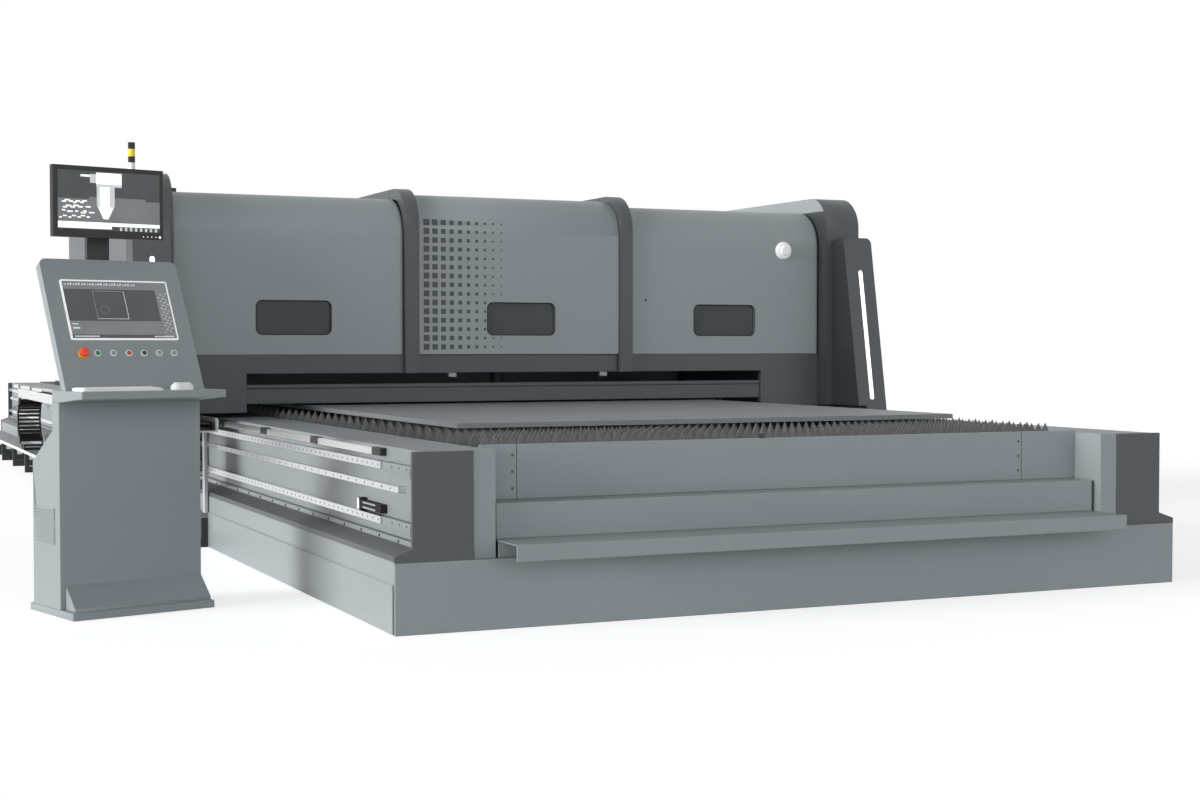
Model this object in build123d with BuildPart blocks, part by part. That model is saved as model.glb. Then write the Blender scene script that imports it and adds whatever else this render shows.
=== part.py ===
from build123d import *
import os
from math import cos, degrees, hypot, pi, radians, sin

# Gantry fiber laser cutting machine. Millimetres, +Z up, +Y along the bed towards its rear.
# The origin is the centre of the bed's footprint on the floor.

# Fits
play = 0.3
shaft_play = 0.05

# Base frame
base_length = 15400
base_width = 4250
front_panel_height = 310
front_panel_depth = 34
panel_gap = 2
seam_sheet = 8
seam_depth = 40
side_panel_height = 338
side_crease_height = 210
side_crease_step = 8
ledge_height = 368
ledge_width = 95
member_count = 8
member_end_gap = 700
member_width = 160
member_height = 100
anchor_hole_radius = 13
anchor_end_gap = 170
anchor_member_share = 2.5
scrap_plate_thickness = 6
scrap_plate_gap = 60

# Side beams with what runs along them
beam_inset = 125
beam_width = 330
beam_top = 784
beam_foot_height = 24
beam_foot_reach = 30
cover_depth = 34
cover_set_back = 12
cover_width = 281
cover_inset = 83
rail_reach = 40
rail_height = 33
rail_end_gap = 470
upper_rail_height = 684
lower_rail_height = 436
rack_reach = 33
rack_height = 26
rack_level = 593
rack_end_gap = 230
strip_reach = 28
strip_height = 31
strip_level = 740
strip_end_gap = 500
bumper_reach = 32
bumper_height = 57
bumper_level = 470
bumper_length = 360
bumper_end_gap = 490
bumper_head_length = 56
bumper_neck = 9

# Front bay
flange_depth = 18
liner_thickness = 12
bay_depth = 220
bay_sheet = 12
bay_panel_top = 795
step_top = 546
step_face_set_back = 60
step_bottom = 388
step_sheet = 6
step_end_gap = 18
tray_reach = 200
tray_lip_bottom = 314
tray_end_gap = 12
tray_leg_set_back = 20

# Slat table and the plate on it
slat_pitch = 152
slat_first = 360
slat_rear_gap = 605
slat_thickness = 5
slat_end_gap = 70
slat_bottom = 720
slat_tip = 830
slat_tooth_depth = 43
slat_tooth_count = 4
slat_tip_share = 0.12
holder_width = 110
holder_height = 30
holder_end_gap = 330
sheet_width = 2935
sheet_length = 10000
sheet_thickness = 25
sheet_front_gap = 1030

# Cable tray and energy chain along the left side
tray_width = 250
tray_top = 210
tray_sheet = 20
tray_front_gap = 3710
leg_pitch = 1020
leg_bar = 40
leg_rail_height = 60
trough_width = 245
trough_floor = 720
trough_top = 800
trough_wall = 8
trough_front_gap = 3400
trough_bend_lap = 120
post_thickness = 18
post_length = 60
post_pitch = 2140
chain_width = 225
chain_height = 50
chain_bar = 14
chain_ring = 60
chain_bend_lead = 7450
chain_link_count = 15
chain_link_bar = 22
chain_end_gap = 60
chain_post_gap = 4
chain_foot_length = 330

# Gantry hood
hood_set_back = 3850
hood_depth = 2290
hood_overhang = 190
hood_wall = 40
hood_top = 2200
hood_corner = 250
hood_gap = 3
hood_edge_round = 26
rear_lap = 60
panel_bottom = 1180
band_bottom = 1058
band_set_back = 8
wall_bottom = 815
apron_bottom = 500
apron_clear = 30
skirt_end_gap = 470
skirt_set_back = 32
skirt_sheet = 12
skirt_bottom = 868
skirt_top = 990
skirt_lip = 25
skirt_return = 90
skirt_fold = 6
door_half_width = 717
door_proud = 12
door_top = 2233
door_depth = 302
hinge_pin_radius = 9
hinge_pin_length = 40
hinge_pin_inset = 15
rib_width = 94
rib_proud = 30
rib_top = 2268
rib_seam = 340
rib_seam_gap = 6
window_width = 484
window_height = 215
window_bottom = 1306
window_corner = 38
window_glass = 8
window_sink = 14
window_offset = 20
latch_width = 56
latch_height = 30
latch_depth = 40
latch_offset = 545
latch_shift = 66
lamp_end_gap = 299
lamp_height = 1912
lamp_radius = 63
lamp_base = 26
lamp_dome_radius = 38
lamp_dome = 16

# Gantry ends
cap_width = 278
cap_reach = 98
cap_rear_reach = 50
cap_top = 2300
cap_corner = 226
cap_edge = 10
tower_inset = 2
tower_width = 225
tower_bottom = 460
tower_top = 2000
tower_depth_low = 423
tower_depth_high = 147
tower_round = 40
tower_notch_width = 62
light_width = 30
light_proud = 5
light_low = 850
light_high = 1775
stack_radius = 22
stack_base_radius = 26
stack_height = 210
stack_groove = 2
stack_band_shares = (0.34, 0.56, 0.78)
stack_offset = 110
stack_set_back = 350

# Gantry beam, end carriages and drives
gantry_beam_set_back = 600
gantry_beam_depth = 500
gantry_beam_bottom = 1250
gantry_beam_height = 500
cross_rail_size = 30
cross_rail_inset = 55
cross_rail_end_gap = 133
carriage_clear = 83
carriage_plate_thickness = 30
carriage_box_bottom = 850
carriage_box_top = 1750
carriage_set_back = 400
carriage_length = 1250
hanger_length = 500
hanger_bottom = 420
guide_block_reach = 71
guide_block_height = 76
guide_block_length = 180
pinion_teeth = 20
pinion_module = 3
pinion_width = 26
pinion_tip_share = 0.35
pinion_root_share = 0.7
pinion_dedendum_share = 1.25
shaft_radius = 12
shaft_entry = 60
motor_size = 130
motor_height = 260
motor_flange = 20
motor_flange_size = 160
chain_arm_width = 60
chain_arm_length = 90
chain_arm_clear = 6

# Cutting carriage and head
carriage_width = 440
carriage_plate = 40
carriage_block_length = 100
carriage_block_reach = 20
carriage_rise = 60
head_width = 150
head_depth = 150
head_bottom = 1150
head_top = 1900
head_gap = 2
head_barrel_radius = 44
head_barrel_bottom = 985
head_cone_bottom = 930
head_cone_radius = 16
nozzle_radius = 6
nozzle_tip = 900
head_guide_width = 60

# Operator console, in its own turned frame: u across, v to its rear
console_gap = 1186
console_set_back = 988
console_turn = 15.2
plate_width = 700
plate_depth = 487
plate_thickness = 36
cabinet_width = 700
cabinet_front = 137
cabinet_rear = 445
cabinet_neck = 215
cabinet_rear_height = 700
cabinet_neck_height = 850
cabinet_top = 978
kick_height = 146
kick_front = 37
kick_toe = 14
kick_left = 24
louver_count = 12
louver_low = 330
louver_high = 500
louver_near = 190
louver_far = 405
louver_depth = 9
louver_share = 0.8
shelf_width = 706
shelf_front = -116
shelf_lip = 36
shelf_top = 1033
shelf_lip_depth = 26
panel_low_v = 110
panel_low_z = 1145
panel_high_v = 335
panel_high_z = 1605
panel_end_z = 1640
panel_width = 682
panel_thickness = 46
panel_round = 32
screen_width = 531
screen_length = 310
screen_low_z = 1262
screen_proud = 6
screen_round = 8
monitor_width = 549
monitor_height = 331
monitor_low = 1741
monitor_front_v = 300
monitor_depth = 42
monitor_left = 51
monitor_edge = 5
arm_width = 112
arm_rear_v = 460
arm_thickness = 30
arm_foot_low = 1450
arm_foot_high = 1530
arm_head_low = 1850
arm_head_high = 1950
keyboard_left = 20
keyboard_width = 380
keyboard_depth = 125
keyboard_thickness = 9
keyboard_front = -92
keyboard_back_rise = 5
mouse_left = 465
mouse_length = 110
mouse_width = 64
mouse_height = 34
mouse_front = -72
button_row_z = 1200
button_count = 6
button_first = 186
button_pitch = 76
button_radius = 11
button_thickness = 6
button_lift = 5
bezel_radius = 16
bezel_thickness = 9
stop_u = 118
stop_base_radius = 25
stop_base_thickness = 8
stop_stem_radius = 9
stop_head_radius = 21
stop_lift = 8
stop_head_thickness = 13
stop_edge = 4

# Places that follow from the sizes above
base_front = -base_length / 2
base_side = base_width / 2
beam_outer = base_side - beam_inset
beam_inner = beam_outer - beam_width
cover_outer = base_side - cover_inset
cover_inner = cover_outer - cover_width
bay_half_width = beam_inner - liner_thickness
member_pitch = (base_length - 2 * member_end_gap) / (member_count - 1)
slat_count = int((base_length - slat_first - slat_rear_gap) / slat_pitch) + 1
slat_half_length = beam_inner - slat_end_gap
hood_front = base_front + hood_set_back
hood_rear = hood_front + hood_depth
hood_half_width = base_side + hood_overhang
skirt_half_width = hood_half_width - skirt_end_gap
cap_front = hood_front - cap_reach
cap_rear = hood_rear + cap_rear_reach
cap_outer = hood_half_width + cap_width
tower_outer = cap_outer - tower_inset
tower_front_low = cap_front - tower_depth_low
tower_front_high = cap_front - tower_depth_high
gantry_beam_front = hood_front + gantry_beam_set_back
carriage_plate_inner = beam_outer + carriage_clear
carriage_front = hood_front + carriage_set_back
carriage_rear = carriage_front + carriage_length
rib_outer = door_half_width + hood_gap + rib_width
trough_outer = -base_side - trough_width
pinion_pitch_radius = pinion_module * pinion_teeth / 2
pinion_x = beam_outer + rack_reach + pinion_module * pinion_dedendum_share + pinion_pitch_radius
drive_y = (carriage_front + carriage_rear) / 2
console_u = Vector(cos(radians(console_turn)), sin(radians(console_turn)), 0)
console_v = Vector(-sin(radians(console_turn)), cos(radians(console_turn)), 0)
console_origin = Vector(-base_side - console_gap, base_front + console_set_back, 0)
console_floor = Plane(origin=console_origin, x_dir=console_u, z_dir=(0, 0, 1))
console_side = Plane(origin=console_origin, x_dir=console_v, z_dir=console_u)
panel_run = panel_high_v - panel_low_v
panel_rise = panel_high_z - panel_low_z
panel_slope = hypot(panel_run, panel_rise)
panel_lean = panel_run / panel_rise
panel_normal = console_v * (-panel_rise / panel_slope) + Vector(0, 0, panel_run / panel_slope)
panel_start = console_origin + console_v * panel_low_v + Vector(0, 0, panel_low_z)
panel_face = Plane(origin=panel_start, x_dir=console_u, z_dir=panel_normal)


def span(pair):
    return pair[1] - pair[0]


def middle(pair):
    return (pair[0] + pair[1]) / 2


def block(x, y, z, mode=Mode.ADD):
    """A box from its low and high places along each axis."""
    with Locations((middle(x), middle(y), middle(z))):
        Box(span(x), span(y), span(z), mode=mode)


def prism(points, plane, length):
    """A closed outline of straight runs, pulled along its plane's normal."""
    with BuildPart() as made:
        with BuildSketch(plane):
            with BuildLine():
                Polyline(*points, close=True)
            make_face()
        extrude(amount=length)
    return made.part


def shell_outline(front, top, low, corner, depth, wall):
    """A hood wall seen from its end: up the front, round the corner and back along the top."""
    with BuildSketch() as made:
        with BuildLine():
            Line((front, low), (front, top - corner))
            RadiusArc((front, top - corner), (front + corner, top), corner)
            Line((front + corner, top), (front + depth, top))
            Line((front + depth, top), (front + depth, top - wall))
            Line((front + depth, top - wall), (front + corner, top - wall))
            RadiusArc((front + corner, top - wall), (front + wall, top - corner), wall - corner)
            Line((front + wall, top - corner), (front + wall, low))
            Line((front + wall, low), (front, low))
        make_face()
    return made.sketch


def window_outline(x, inset):
    """A round-cornered window outline, drawn inside a sketch on a front wall's plane."""
    with Locations((x, window_bottom + window_height / 2)):
        RectangleRounded(window_width - 2 * inset, window_height - 2 * inset, window_corner - inset)


def finish(piece, name):
    piece.part.label = name
    export_step(piece.part, f"parts/{name}.step")


def panel_place(u, z):
    """A place on the console's sloped face from its distance across and its height."""
    return (u, (z - panel_low_z) * panel_slope / panel_rise)


def panel_back_v(z):
    """How far back the sloped panel's rear face is at a height."""
    return panel_low_v + panel_thickness * panel_slope / panel_rise + (z - panel_low_z) * panel_lean


def corner_seam(low, high):
    """The open seam behind the front face at the left corner, cut from the piece being built."""
    x = (-base_side, -base_side + seam_depth)
    block(x, (base_front + seam_sheet, base_front + front_panel_depth), (low, high), mode=Mode.SUBTRACT)


os.makedirs("parts", exist_ok=True)

# Base: two end panels, two side plinths and the members between them
with BuildPart() as base_end_panels:
    block((-base_side, 0), (base_front, base_front + front_panel_depth), (0, front_panel_height))
    corner_seam(0, front_panel_height)
    mirror(about=Plane.YZ)
    mirror(about=Plane.XZ)
finish(base_end_panels, "base_end_panels")

plinth_start = base_front + front_panel_depth + panel_gap
plinth_outline = [
    (-base_side, 0),
    (-base_side, side_crease_height),
    (-base_side + side_crease_step, side_crease_height + side_crease_step),
    (-base_side + side_crease_step, side_panel_height),
    (-base_side + ledge_width, ledge_height),
    (-beam_inner, ledge_height),
    (-beam_inner, 0),
]
with BuildPart() as base_side_plinths:
    with BuildSketch(Plane.XZ.offset(-plinth_start)):
        with BuildLine():
            Polyline(*plinth_outline, close=True)
        make_face()
    extrude(amount=2 * plinth_start)
    mirror(about=Plane.YZ)
finish(base_side_plinths, "base_side_plinths")

anchor_spacing_x = 2 * (beam_inner - anchor_end_gap)
anchor_spacing_y = 2 * anchor_member_share * member_pitch
with BuildPart() as cross_members:
    with GridLocations(0, member_pitch, 1, member_count):
        Box(
            2 * beam_inner,
            member_width,
            member_height,
            align=(Align.CENTER, Align.CENTER, Align.MIN),
        )
    with GridLocations(anchor_spacing_x, anchor_spacing_y, 2, 2):
        Cylinder(
            anchor_hole_radius,
            member_height,
            align=(Align.CENTER, Align.CENTER, Align.MIN),
            mode=Mode.SUBTRACT,
        )
finish(cross_members, "cross_members")

with BuildPart() as scrap_plates:
    with Locations((0, 0, member_height)):
        with GridLocations(0, member_pitch, 1, member_count - 1):
            Box(
                2 * bay_half_width,
                member_pitch - scrap_plate_gap,
                scrap_plate_thickness,
                align=(Align.CENTER, Align.CENTER, Align.MIN),
            )
finish(scrap_plates, "scrap_plates")

# Side beams with a foot strip along their outer edge
beam_start = base_front + front_panel_depth
beam_outline = [
    (-beam_outer - beam_foot_reach, ledge_height),
    (-beam_outer - beam_foot_reach, ledge_height + beam_foot_height),
    (-beam_outer, ledge_height + beam_foot_height),
    (-beam_outer, beam_top),
    (-beam_inner, beam_top),
    (-beam_inner, ledge_height),
]
with BuildPart() as side_beams:
    with BuildSketch(Plane.XZ.offset(-beam_start)):
        with BuildLine():
            Polyline(*beam_outline, close=True)
        make_face()
    extrude(amount=2 * beam_start)
    mirror(about=Plane.YZ)
finish(side_beams, "side_beams")

# End covers with a flared foot that reaches out to the base's corner
with BuildPart() as beam_end_covers:
    block(
        (-base_side, -cover_inner),
        (base_front, base_front + front_panel_depth),
        (front_panel_height, side_panel_height),
    )
    corner_seam(front_panel_height, side_panel_height)
    with BuildSketch(Plane.XY.offset(side_panel_height)):
        with Locations((-(base_side + cover_inner) / 2, base_front + front_panel_depth / 2)):
            Rectangle(base_side - cover_inner, front_panel_depth)
    with BuildSketch(Plane.XY.offset(ledge_height)):
        with Locations((-(cover_outer + cover_inner) / 2, base_front + (cover_set_back + cover_depth) / 2)):
            Rectangle(cover_width, cover_depth - cover_set_back)
    loft()
    block(
        (-cover_outer, -cover_inner),
        (base_front + cover_set_back, base_front + cover_depth),
        (ledge_height, beam_top),
    )
    mirror(about=Plane.YZ)
    mirror(about=Plane.XZ)
finish(beam_end_covers, "beam_end_covers")


def along_beam(reach, low, height, end_gap):
    """Low and high places of a bar that runs along the left beam's outer face."""
    y = (base_front + end_gap, -base_front - end_gap)
    return (-beam_outer - reach, -beam_outer), y, (low, low + height)


with BuildPart() as guide_rails:
    block(*along_beam(rail_reach, upper_rail_height, rail_height, rail_end_gap))
    block(*along_beam(rail_reach, lower_rail_height, rail_height, rail_end_gap))
    mirror(about=Plane.YZ)
finish(guide_rails, "guide_rails")

with BuildPart() as gear_racks:
    block(*along_beam(rack_reach, rack_level, rack_height, rack_end_gap))
    mirror(about=Plane.YZ)
finish(gear_racks, "gear_racks")

with BuildPart() as rail_covers:
    block(*along_beam(strip_reach, strip_level, strip_height, strip_end_gap))
    mirror(about=Plane.YZ)
finish(rail_covers, "rail_covers")

bumper_front = base_front + bumper_end_gap
bumper_rear = bumper_front + bumper_length
with BuildPart() as travel_bumpers:
    block(
        (-beam_outer - bumper_reach, -beam_outer),
        (bumper_front, bumper_rear - bumper_head_length),
        (bumper_level + bumper_neck, bumper_level + bumper_height - bumper_neck),
    )
    block(
        (-beam_outer - bumper_reach, -beam_outer),
        (bumper_rear - bumper_head_length, bumper_rear),
        (bumper_level, bumper_level + bumper_height),
    )
    mirror(about=Plane.YZ)
    mirror(about=Plane.XZ)
finish(travel_bumpers, "travel_bumpers")

# Front bay: cheeks, upper panel with its rear twin, step and loading tray
with BuildPart() as bay_cheeks:
    block(
        (-cover_inner, -bay_half_width),
        (base_front + flange_depth, base_front + cover_depth),
        (front_panel_height, beam_top),
    )
    block(
        (-beam_inner, -bay_half_width),
        (base_front + cover_depth, base_front + bay_depth + bay_sheet),
        (ledge_height, beam_top),
    )
    mirror(about=Plane.YZ)
finish(bay_cheeks, "bay_cheeks")

with BuildPart() as bay_panel:
    block(
        (-bay_half_width, bay_half_width),
        (base_front + bay_depth, base_front + bay_depth + bay_sheet),
        (step_top, bay_panel_top),
    )
    block(
        (-beam_inner, beam_inner),
        (-base_front - front_panel_depth, -base_front - front_panel_depth + bay_sheet),
        (front_panel_height, bay_panel_top),
    )
finish(bay_panel, "bay_panel")

step_half_width = bay_half_width - step_end_gap
with BuildPart() as bay_step:
    block(
        (-step_half_width, step_half_width),
        (base_front + step_face_set_back, base_front + step_face_set_back + step_sheet),
        (step_bottom, step_top),
    )
    block(
        (-step_half_width, step_half_width),
        (base_front + step_face_set_back, base_front + bay_depth + bay_sheet),
        (step_top - step_sheet, step_top),
    )
finish(bay_step, "bay_step")

tray_leg = base_front + tray_leg_set_back
tray_end = base_front + step_face_set_back + 2 * step_sheet
tray_outline = [
    (base_front - tray_reach, tray_lip_bottom),
    (base_front - tray_reach, step_bottom),
    (tray_end, step_bottom),
    (tray_end, step_bottom - step_sheet),
    (tray_leg + step_sheet, step_bottom - step_sheet),
    (tray_leg + step_sheet, front_panel_height),
    (tray_leg, front_panel_height),
    (tray_leg, step_bottom - step_sheet),
    (base_front - tray_reach + step_sheet, step_bottom - step_sheet),
    (base_front - tray_reach + step_sheet, tray_lip_bottom),
]
tray_half_width = bay_half_width - tray_end_gap
with BuildPart() as loading_tray:
    with BuildSketch(Plane.YZ.offset(-tray_half_width)):
        with BuildLine():
            Polyline(*tray_outline, close=True)
        make_face()
    extrude(amount=2 * tray_half_width)
finish(loading_tray, "loading_tray")

# Slat table: toothed slats across the bed, resting on a holder along each beam
tooth_pitch = 2 * slat_half_length / slat_tooth_count
slat_outline = [(-slat_half_length, slat_bottom)]
for tooth in range(slat_tooth_count):
    tooth_start = -slat_half_length + tooth * tooth_pitch
    tip_start = tooth_start + tooth_pitch * (1 - slat_tip_share) / 2
    slat_outline.append((tooth_start, slat_tip - slat_tooth_depth))
    slat_outline.append((tip_start, slat_tip))
    slat_outline.append((tip_start + tooth_pitch * slat_tip_share, slat_tip))
slat_outline.append((slat_half_length, slat_tip - slat_tooth_depth))
slat_outline.append((slat_half_length, slat_bottom))
slat = prism(slat_outline, Plane.XZ, -slat_thickness)
with BuildPart() as slats:
    with Locations(*[(0, base_front + slat_first + row * slat_pitch, 0) for row in range(slat_count)]):
        add(slat)
finish(slats, "slats")

with BuildPart() as slat_holders:
    block(
        (-beam_inner, -beam_inner + holder_width),
        (base_front + holder_end_gap, -base_front - holder_end_gap),
        (slat_bottom - holder_height, slat_bottom),
    )
    mirror(about=Plane.YZ)
finish(slat_holders, "slat_holders")

sheet_front = base_front + sheet_front_gap
with BuildPart() as workpiece_sheet:
    block(
        (-sheet_width / 2, sheet_width / 2),
        (sheet_front, sheet_front + sheet_length),
        (slat_tip, slat_tip + sheet_thickness),
    )
finish(workpiece_sheet, "workpiece_sheet")

# Cable tray on leg frames, with its raised outer lip
tray_front = base_front + tray_front_gap
tray_back = -base_front
leg_count = int((tray_back - tray_front) / leg_pitch)
with BuildPart() as cable_tray:
    block((-base_side - tray_width, -base_side), (tray_front, tray_back), (tray_top - tray_sheet, tray_top))
    for leg in range(leg_count + 1):
        leg_y = (tray_front + leg * leg_pitch, tray_front + leg * leg_pitch + leg_bar)
        block((-base_side - tray_width, -base_side - tray_width + leg_bar), leg_y, (0, tray_top - tray_sheet))
        block((-base_side - leg_bar, -base_side), leg_y, (0, tray_top - tray_sheet))
        block((-base_side - tray_width, -base_side), leg_y, (0, leg_rail_height))
finish(cable_tray, "cable_tray")

# Chain trough above the tray, on flat posts beside the chain
chain_bend_place = hood_front + chain_bend_lead
trough_y = (base_front + trough_front_gap, chain_bend_place + trough_bend_lap)
post_count = int(span(trough_y) / post_pitch)
with BuildPart() as chain_trough:
    block((trough_outer, -base_side), trough_y, (trough_floor, trough_floor + trough_wall))
    block((trough_outer, trough_outer + trough_wall), trough_y, (trough_floor, trough_top))
    block((-base_side - trough_wall, -base_side), trough_y, (trough_floor, trough_top))
    for post in range(post_count + 1):
        post_start = tray_front + post * post_pitch
        block(
            (-base_side - post_thickness, -base_side),
            (post_start, post_start + post_length),
            (tray_top, trough_floor),
        )
finish(chain_trough, "chain_trough")

chain_inner = -base_side - post_thickness - chain_post_gap
chain_x = (chain_inner - chain_width, chain_inner)
trough_run_x = (trough_outer + trough_wall + chain_post_gap, -base_side - trough_wall - chain_post_gap)
trough_run_y = (trough_y[0] + chain_end_gap, trough_y[1] - chain_end_gap)
trough_run_floor = trough_floor + trough_wall
foot_y = (chain_bend_place - chain_foot_length, chain_bend_place)
with BuildPart() as chain_runs:
    block(trough_run_x, trough_run_y, (trough_run_floor, trough_run_floor + chain_height))
    block(chain_x, foot_y, (tray_top, tray_top + chain_height))
finish(chain_runs, "chain_runs")

# The chain's moving bend: two curved side bands joined by link bars
bend_low = tray_top + chain_height + play
bend_high = trough_floor - play
bend_radius = (bend_high - bend_low) / 2
bend_centre = Plane.YZ.offset(chain_x[0])
with BuildPart() as chain_bend:
    for band_start in (0, chain_width - chain_bar):
        with BuildSketch(bend_centre.offset(band_start)):
            with Locations((chain_bend_place, (bend_low + bend_high) / 2)):
                Circle(bend_radius)
                Circle(bend_radius - chain_ring, mode=Mode.SUBTRACT)
                Rectangle(
                    bend_radius,
                    2 * bend_radius,
                    align=(Align.MAX, Align.CENTER),
                    mode=Mode.SUBTRACT,
                )
        extrude(amount=chain_bar)
    with BuildSketch(bend_centre.offset(chain_bar)):
        with Locations((chain_bend_place, (bend_low + bend_high) / 2)):
            with PolarLocations(
                bend_radius - chain_ring / 2,
                chain_link_count,
                -degrees(pi / 2) + degrees(pi) / chain_link_count / 2,
                degrees(pi),
                endpoint=False,
            ):
                Rectangle(chain_link_bar, chain_link_bar)
    extrude(amount=chain_width - 2 * chain_bar)
finish(chain_bend, "chain_bend")

# Hood panels either side, with rounded ends and a window each
panel_inner = rib_outer
panel_outer = hood_half_width - hood_gap
window_x = middle((panel_inner, panel_outer)) - window_offset
side_shell = shell_outline(hood_front, hood_top, panel_bottom, hood_corner, rib_seam, hood_wall)
with BuildPart() as hood_panels:
    with BuildSketch(Plane.YZ.offset(panel_inner)):
        add(side_shell)
    extrude(amount=panel_outer - panel_inner)
    with BuildSketch(Plane.XZ.offset(-hood_front)):
        window_outline(window_x, 0)
    extrude(amount=-hood_wall, mode=Mode.SUBTRACT)
    end_faces = (faces().sort_by(Axis.X)[0], faces().sort_by(Axis.X)[-1])
    outer_edges = [
        edge
        for face in end_faces
        for edge in face.edges()
        if edge.center().Y < hood_front + play or edge.center().Z > hood_top - play
    ]
    corner_edges = [
        edge
        for face in end_faces
        for edge in face.edges().filter_by(GeomType.CIRCLE)
        if edge.radius > hood_corner - play
    ]
    fillet(outer_edges + corner_edges, hood_edge_round)
    mirror(about=Plane.YZ)
finish(hood_panels, "hood_panels")

with BuildPart() as side_windows:
    with BuildSketch(Plane.XZ.offset(-hood_front - window_sink)):
        window_outline(window_x, play)
    extrude(amount=-window_glass)
    mirror(about=Plane.YZ)
finish(side_windows, "side_windows")

# Ribs: an arched front piece with the door's pivot bore, and a straight roof bar behind a seam
rib_front = hood_front - rib_proud
rib_wall = hood_wall + rib_proud
rib_shell = shell_outline(rib_front, rib_top, band_bottom, hood_corner, rib_seam, rib_wall)
hinge_place = (hood_front - door_proud + door_depth - hinge_pin_inset, door_top - hood_wall / 2)
with BuildPart() as hood_ribs:
    with BuildSketch(Plane.YZ.offset(door_half_width + hood_gap)):
        add(rib_shell)
    extrude(amount=rib_width)
    with BuildSketch(Plane.YZ.offset(door_half_width + hood_gap)):
        with Locations(hinge_place):
            Circle(hinge_pin_radius + shaft_play)
    extrude(amount=hinge_pin_length, mode=Mode.SUBTRACT)
    block(
        (door_half_width + hood_gap, rib_outer),
        (rib_front + rib_seam + rib_seam_gap, hood_rear),
        (hood_top, rib_top),
    )
    mirror(about=Plane.YZ)
finish(hood_ribs, "hood_ribs")

# Roof and rear wall of the hood
roof_start = hood_front + rib_seam
rear_depth = hood_corner + rear_lap
rear_shell = shell_outline(-hood_rear, hood_top, skirt_bottom, hood_corner, rear_depth, hood_wall)
with BuildPart() as hood_shell:
    with BuildSketch(Plane.YZ.offset(-hood_half_width)):
        add(rear_shell.mirror(Plane.YZ))
    extrude(amount=2 * hood_half_width)
    block(
        (-hood_half_width, hood_half_width),
        (roof_start, hood_rear - rear_depth),
        (hood_top - hood_wall, hood_top),
    )
finish(hood_shell, "hood_shell")

# Lower bands with the end walls that drop beside the skirt, and an apron on the right
band_front = hood_front + band_set_back
band_y = (band_front, band_front + hood_wall)
with BuildPart() as lower_bands:
    block((panel_inner, hood_half_width), band_y, (band_bottom, panel_bottom))
    block((skirt_half_width, hood_half_width), band_y, (wall_bottom, band_bottom))
    mirror(about=Plane.YZ)
    block((beam_outer + rail_reach + apron_clear, hood_half_width), band_y, (apron_bottom, wall_bottom))
finish(lower_bands, "lower_bands")

# Front skirt: a folded sheet between the end walls, below an open slot
skirt_back = band_front + skirt_set_back
skirt_front = skirt_back - skirt_sheet
skirt_outline = [
    (skirt_back, skirt_bottom),
    (skirt_front, skirt_bottom),
    (skirt_front, skirt_top - skirt_lip),
    (skirt_front - skirt_fold, skirt_top - skirt_lip),
    (skirt_front - skirt_fold, skirt_top),
    (skirt_front + skirt_return, skirt_top),
    (skirt_front + skirt_return, skirt_top - skirt_sheet),
    (skirt_back, skirt_top - skirt_sheet),
]
with BuildPart() as skirts:
    with BuildSketch(Plane.YZ.offset(-skirt_half_width)):
        with BuildLine():
            Polyline(*skirt_outline, close=True)
        make_face()
    extrude(amount=2 * skirt_half_width)
finish(skirts, "skirts")

# Lift-up door between the ribs, on a pivot pin at each end, with its own band, latches and window
door_front = hood_front - door_proud
door_shell = shell_outline(door_front, door_top, panel_bottom, hood_corner, door_depth, hood_wall)
with BuildPart() as door_panel:
    with BuildSketch(Plane.YZ.offset(-door_half_width)):
        add(door_shell)
    extrude(amount=2 * door_half_width)
    with BuildSketch(Plane.XZ.offset(-door_front)):
        window_outline(0, 0)
    extrude(amount=-hood_wall, mode=Mode.SUBTRACT)
    for side in (-1, 1):
        with BuildSketch(Plane.YZ.offset(side * door_half_width)):
            with Locations(hinge_place):
                Circle(hinge_pin_radius)
        extrude(amount=side * hinge_pin_length)
finish(door_panel, "door_panel")

with BuildPart() as door_band:
    block((-door_half_width, door_half_width), band_y, (band_bottom, panel_bottom))
    for latch_x in (latch_shift - latch_offset, latch_shift + latch_offset):
        block(
            (latch_x - latch_width / 2, latch_x + latch_width / 2),
            (band_front, band_front + latch_depth),
            (band_bottom - latch_height, band_bottom),
        )
finish(door_band, "door_band")

with BuildPart() as door_window:
    with BuildSketch(Plane.XZ.offset(-door_front - window_sink)):
        window_outline(0, play)
    extrude(amount=-window_glass)
finish(door_window, "door_window")

# End caps and the sloped towers in front of them
with BuildPart() as end_caps:
    with BuildSketch(Plane.YZ.offset(hood_half_width)):
        with Locations((middle((cap_front, cap_rear)), middle((wall_bottom, cap_top)))):
            Rectangle(span((cap_front, cap_rear)), span((wall_bottom, cap_top)))
        fillet(vertices().group_by(Axis.Y)[-1], cap_corner)
    extrude(amount=cap_width)
    chamfer(faces().sort_by(Axis.X)[-1].edges(), cap_edge)
    mirror(about=Plane.YZ)
finish(end_caps, "end_caps")

tower_outline = [
    (tower_front_low, tower_bottom),
    (tower_front_high, tower_top),
    (cap_front, tower_top),
    (cap_front, tower_bottom),
]
with BuildPart() as towers:
    with BuildSketch(Plane.YZ.offset(tower_outer - tower_width)):
        with BuildLine():
            Polyline(*tower_outline, close=True)
        make_face()
    extrude(amount=tower_width)
    fillet(faces().sort_by(Axis.Z)[-1].edges().filter_by(Axis.Y), tower_round)
    block(
        (tower_outer - tower_width, tower_outer - tower_width + tower_notch_width),
        (tower_front_low, cap_front),
        (tower_bottom, wall_bottom),
        mode=Mode.SUBTRACT,
    )
    mirror(about=Plane.YZ)
finish(towers, "towers")

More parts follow.
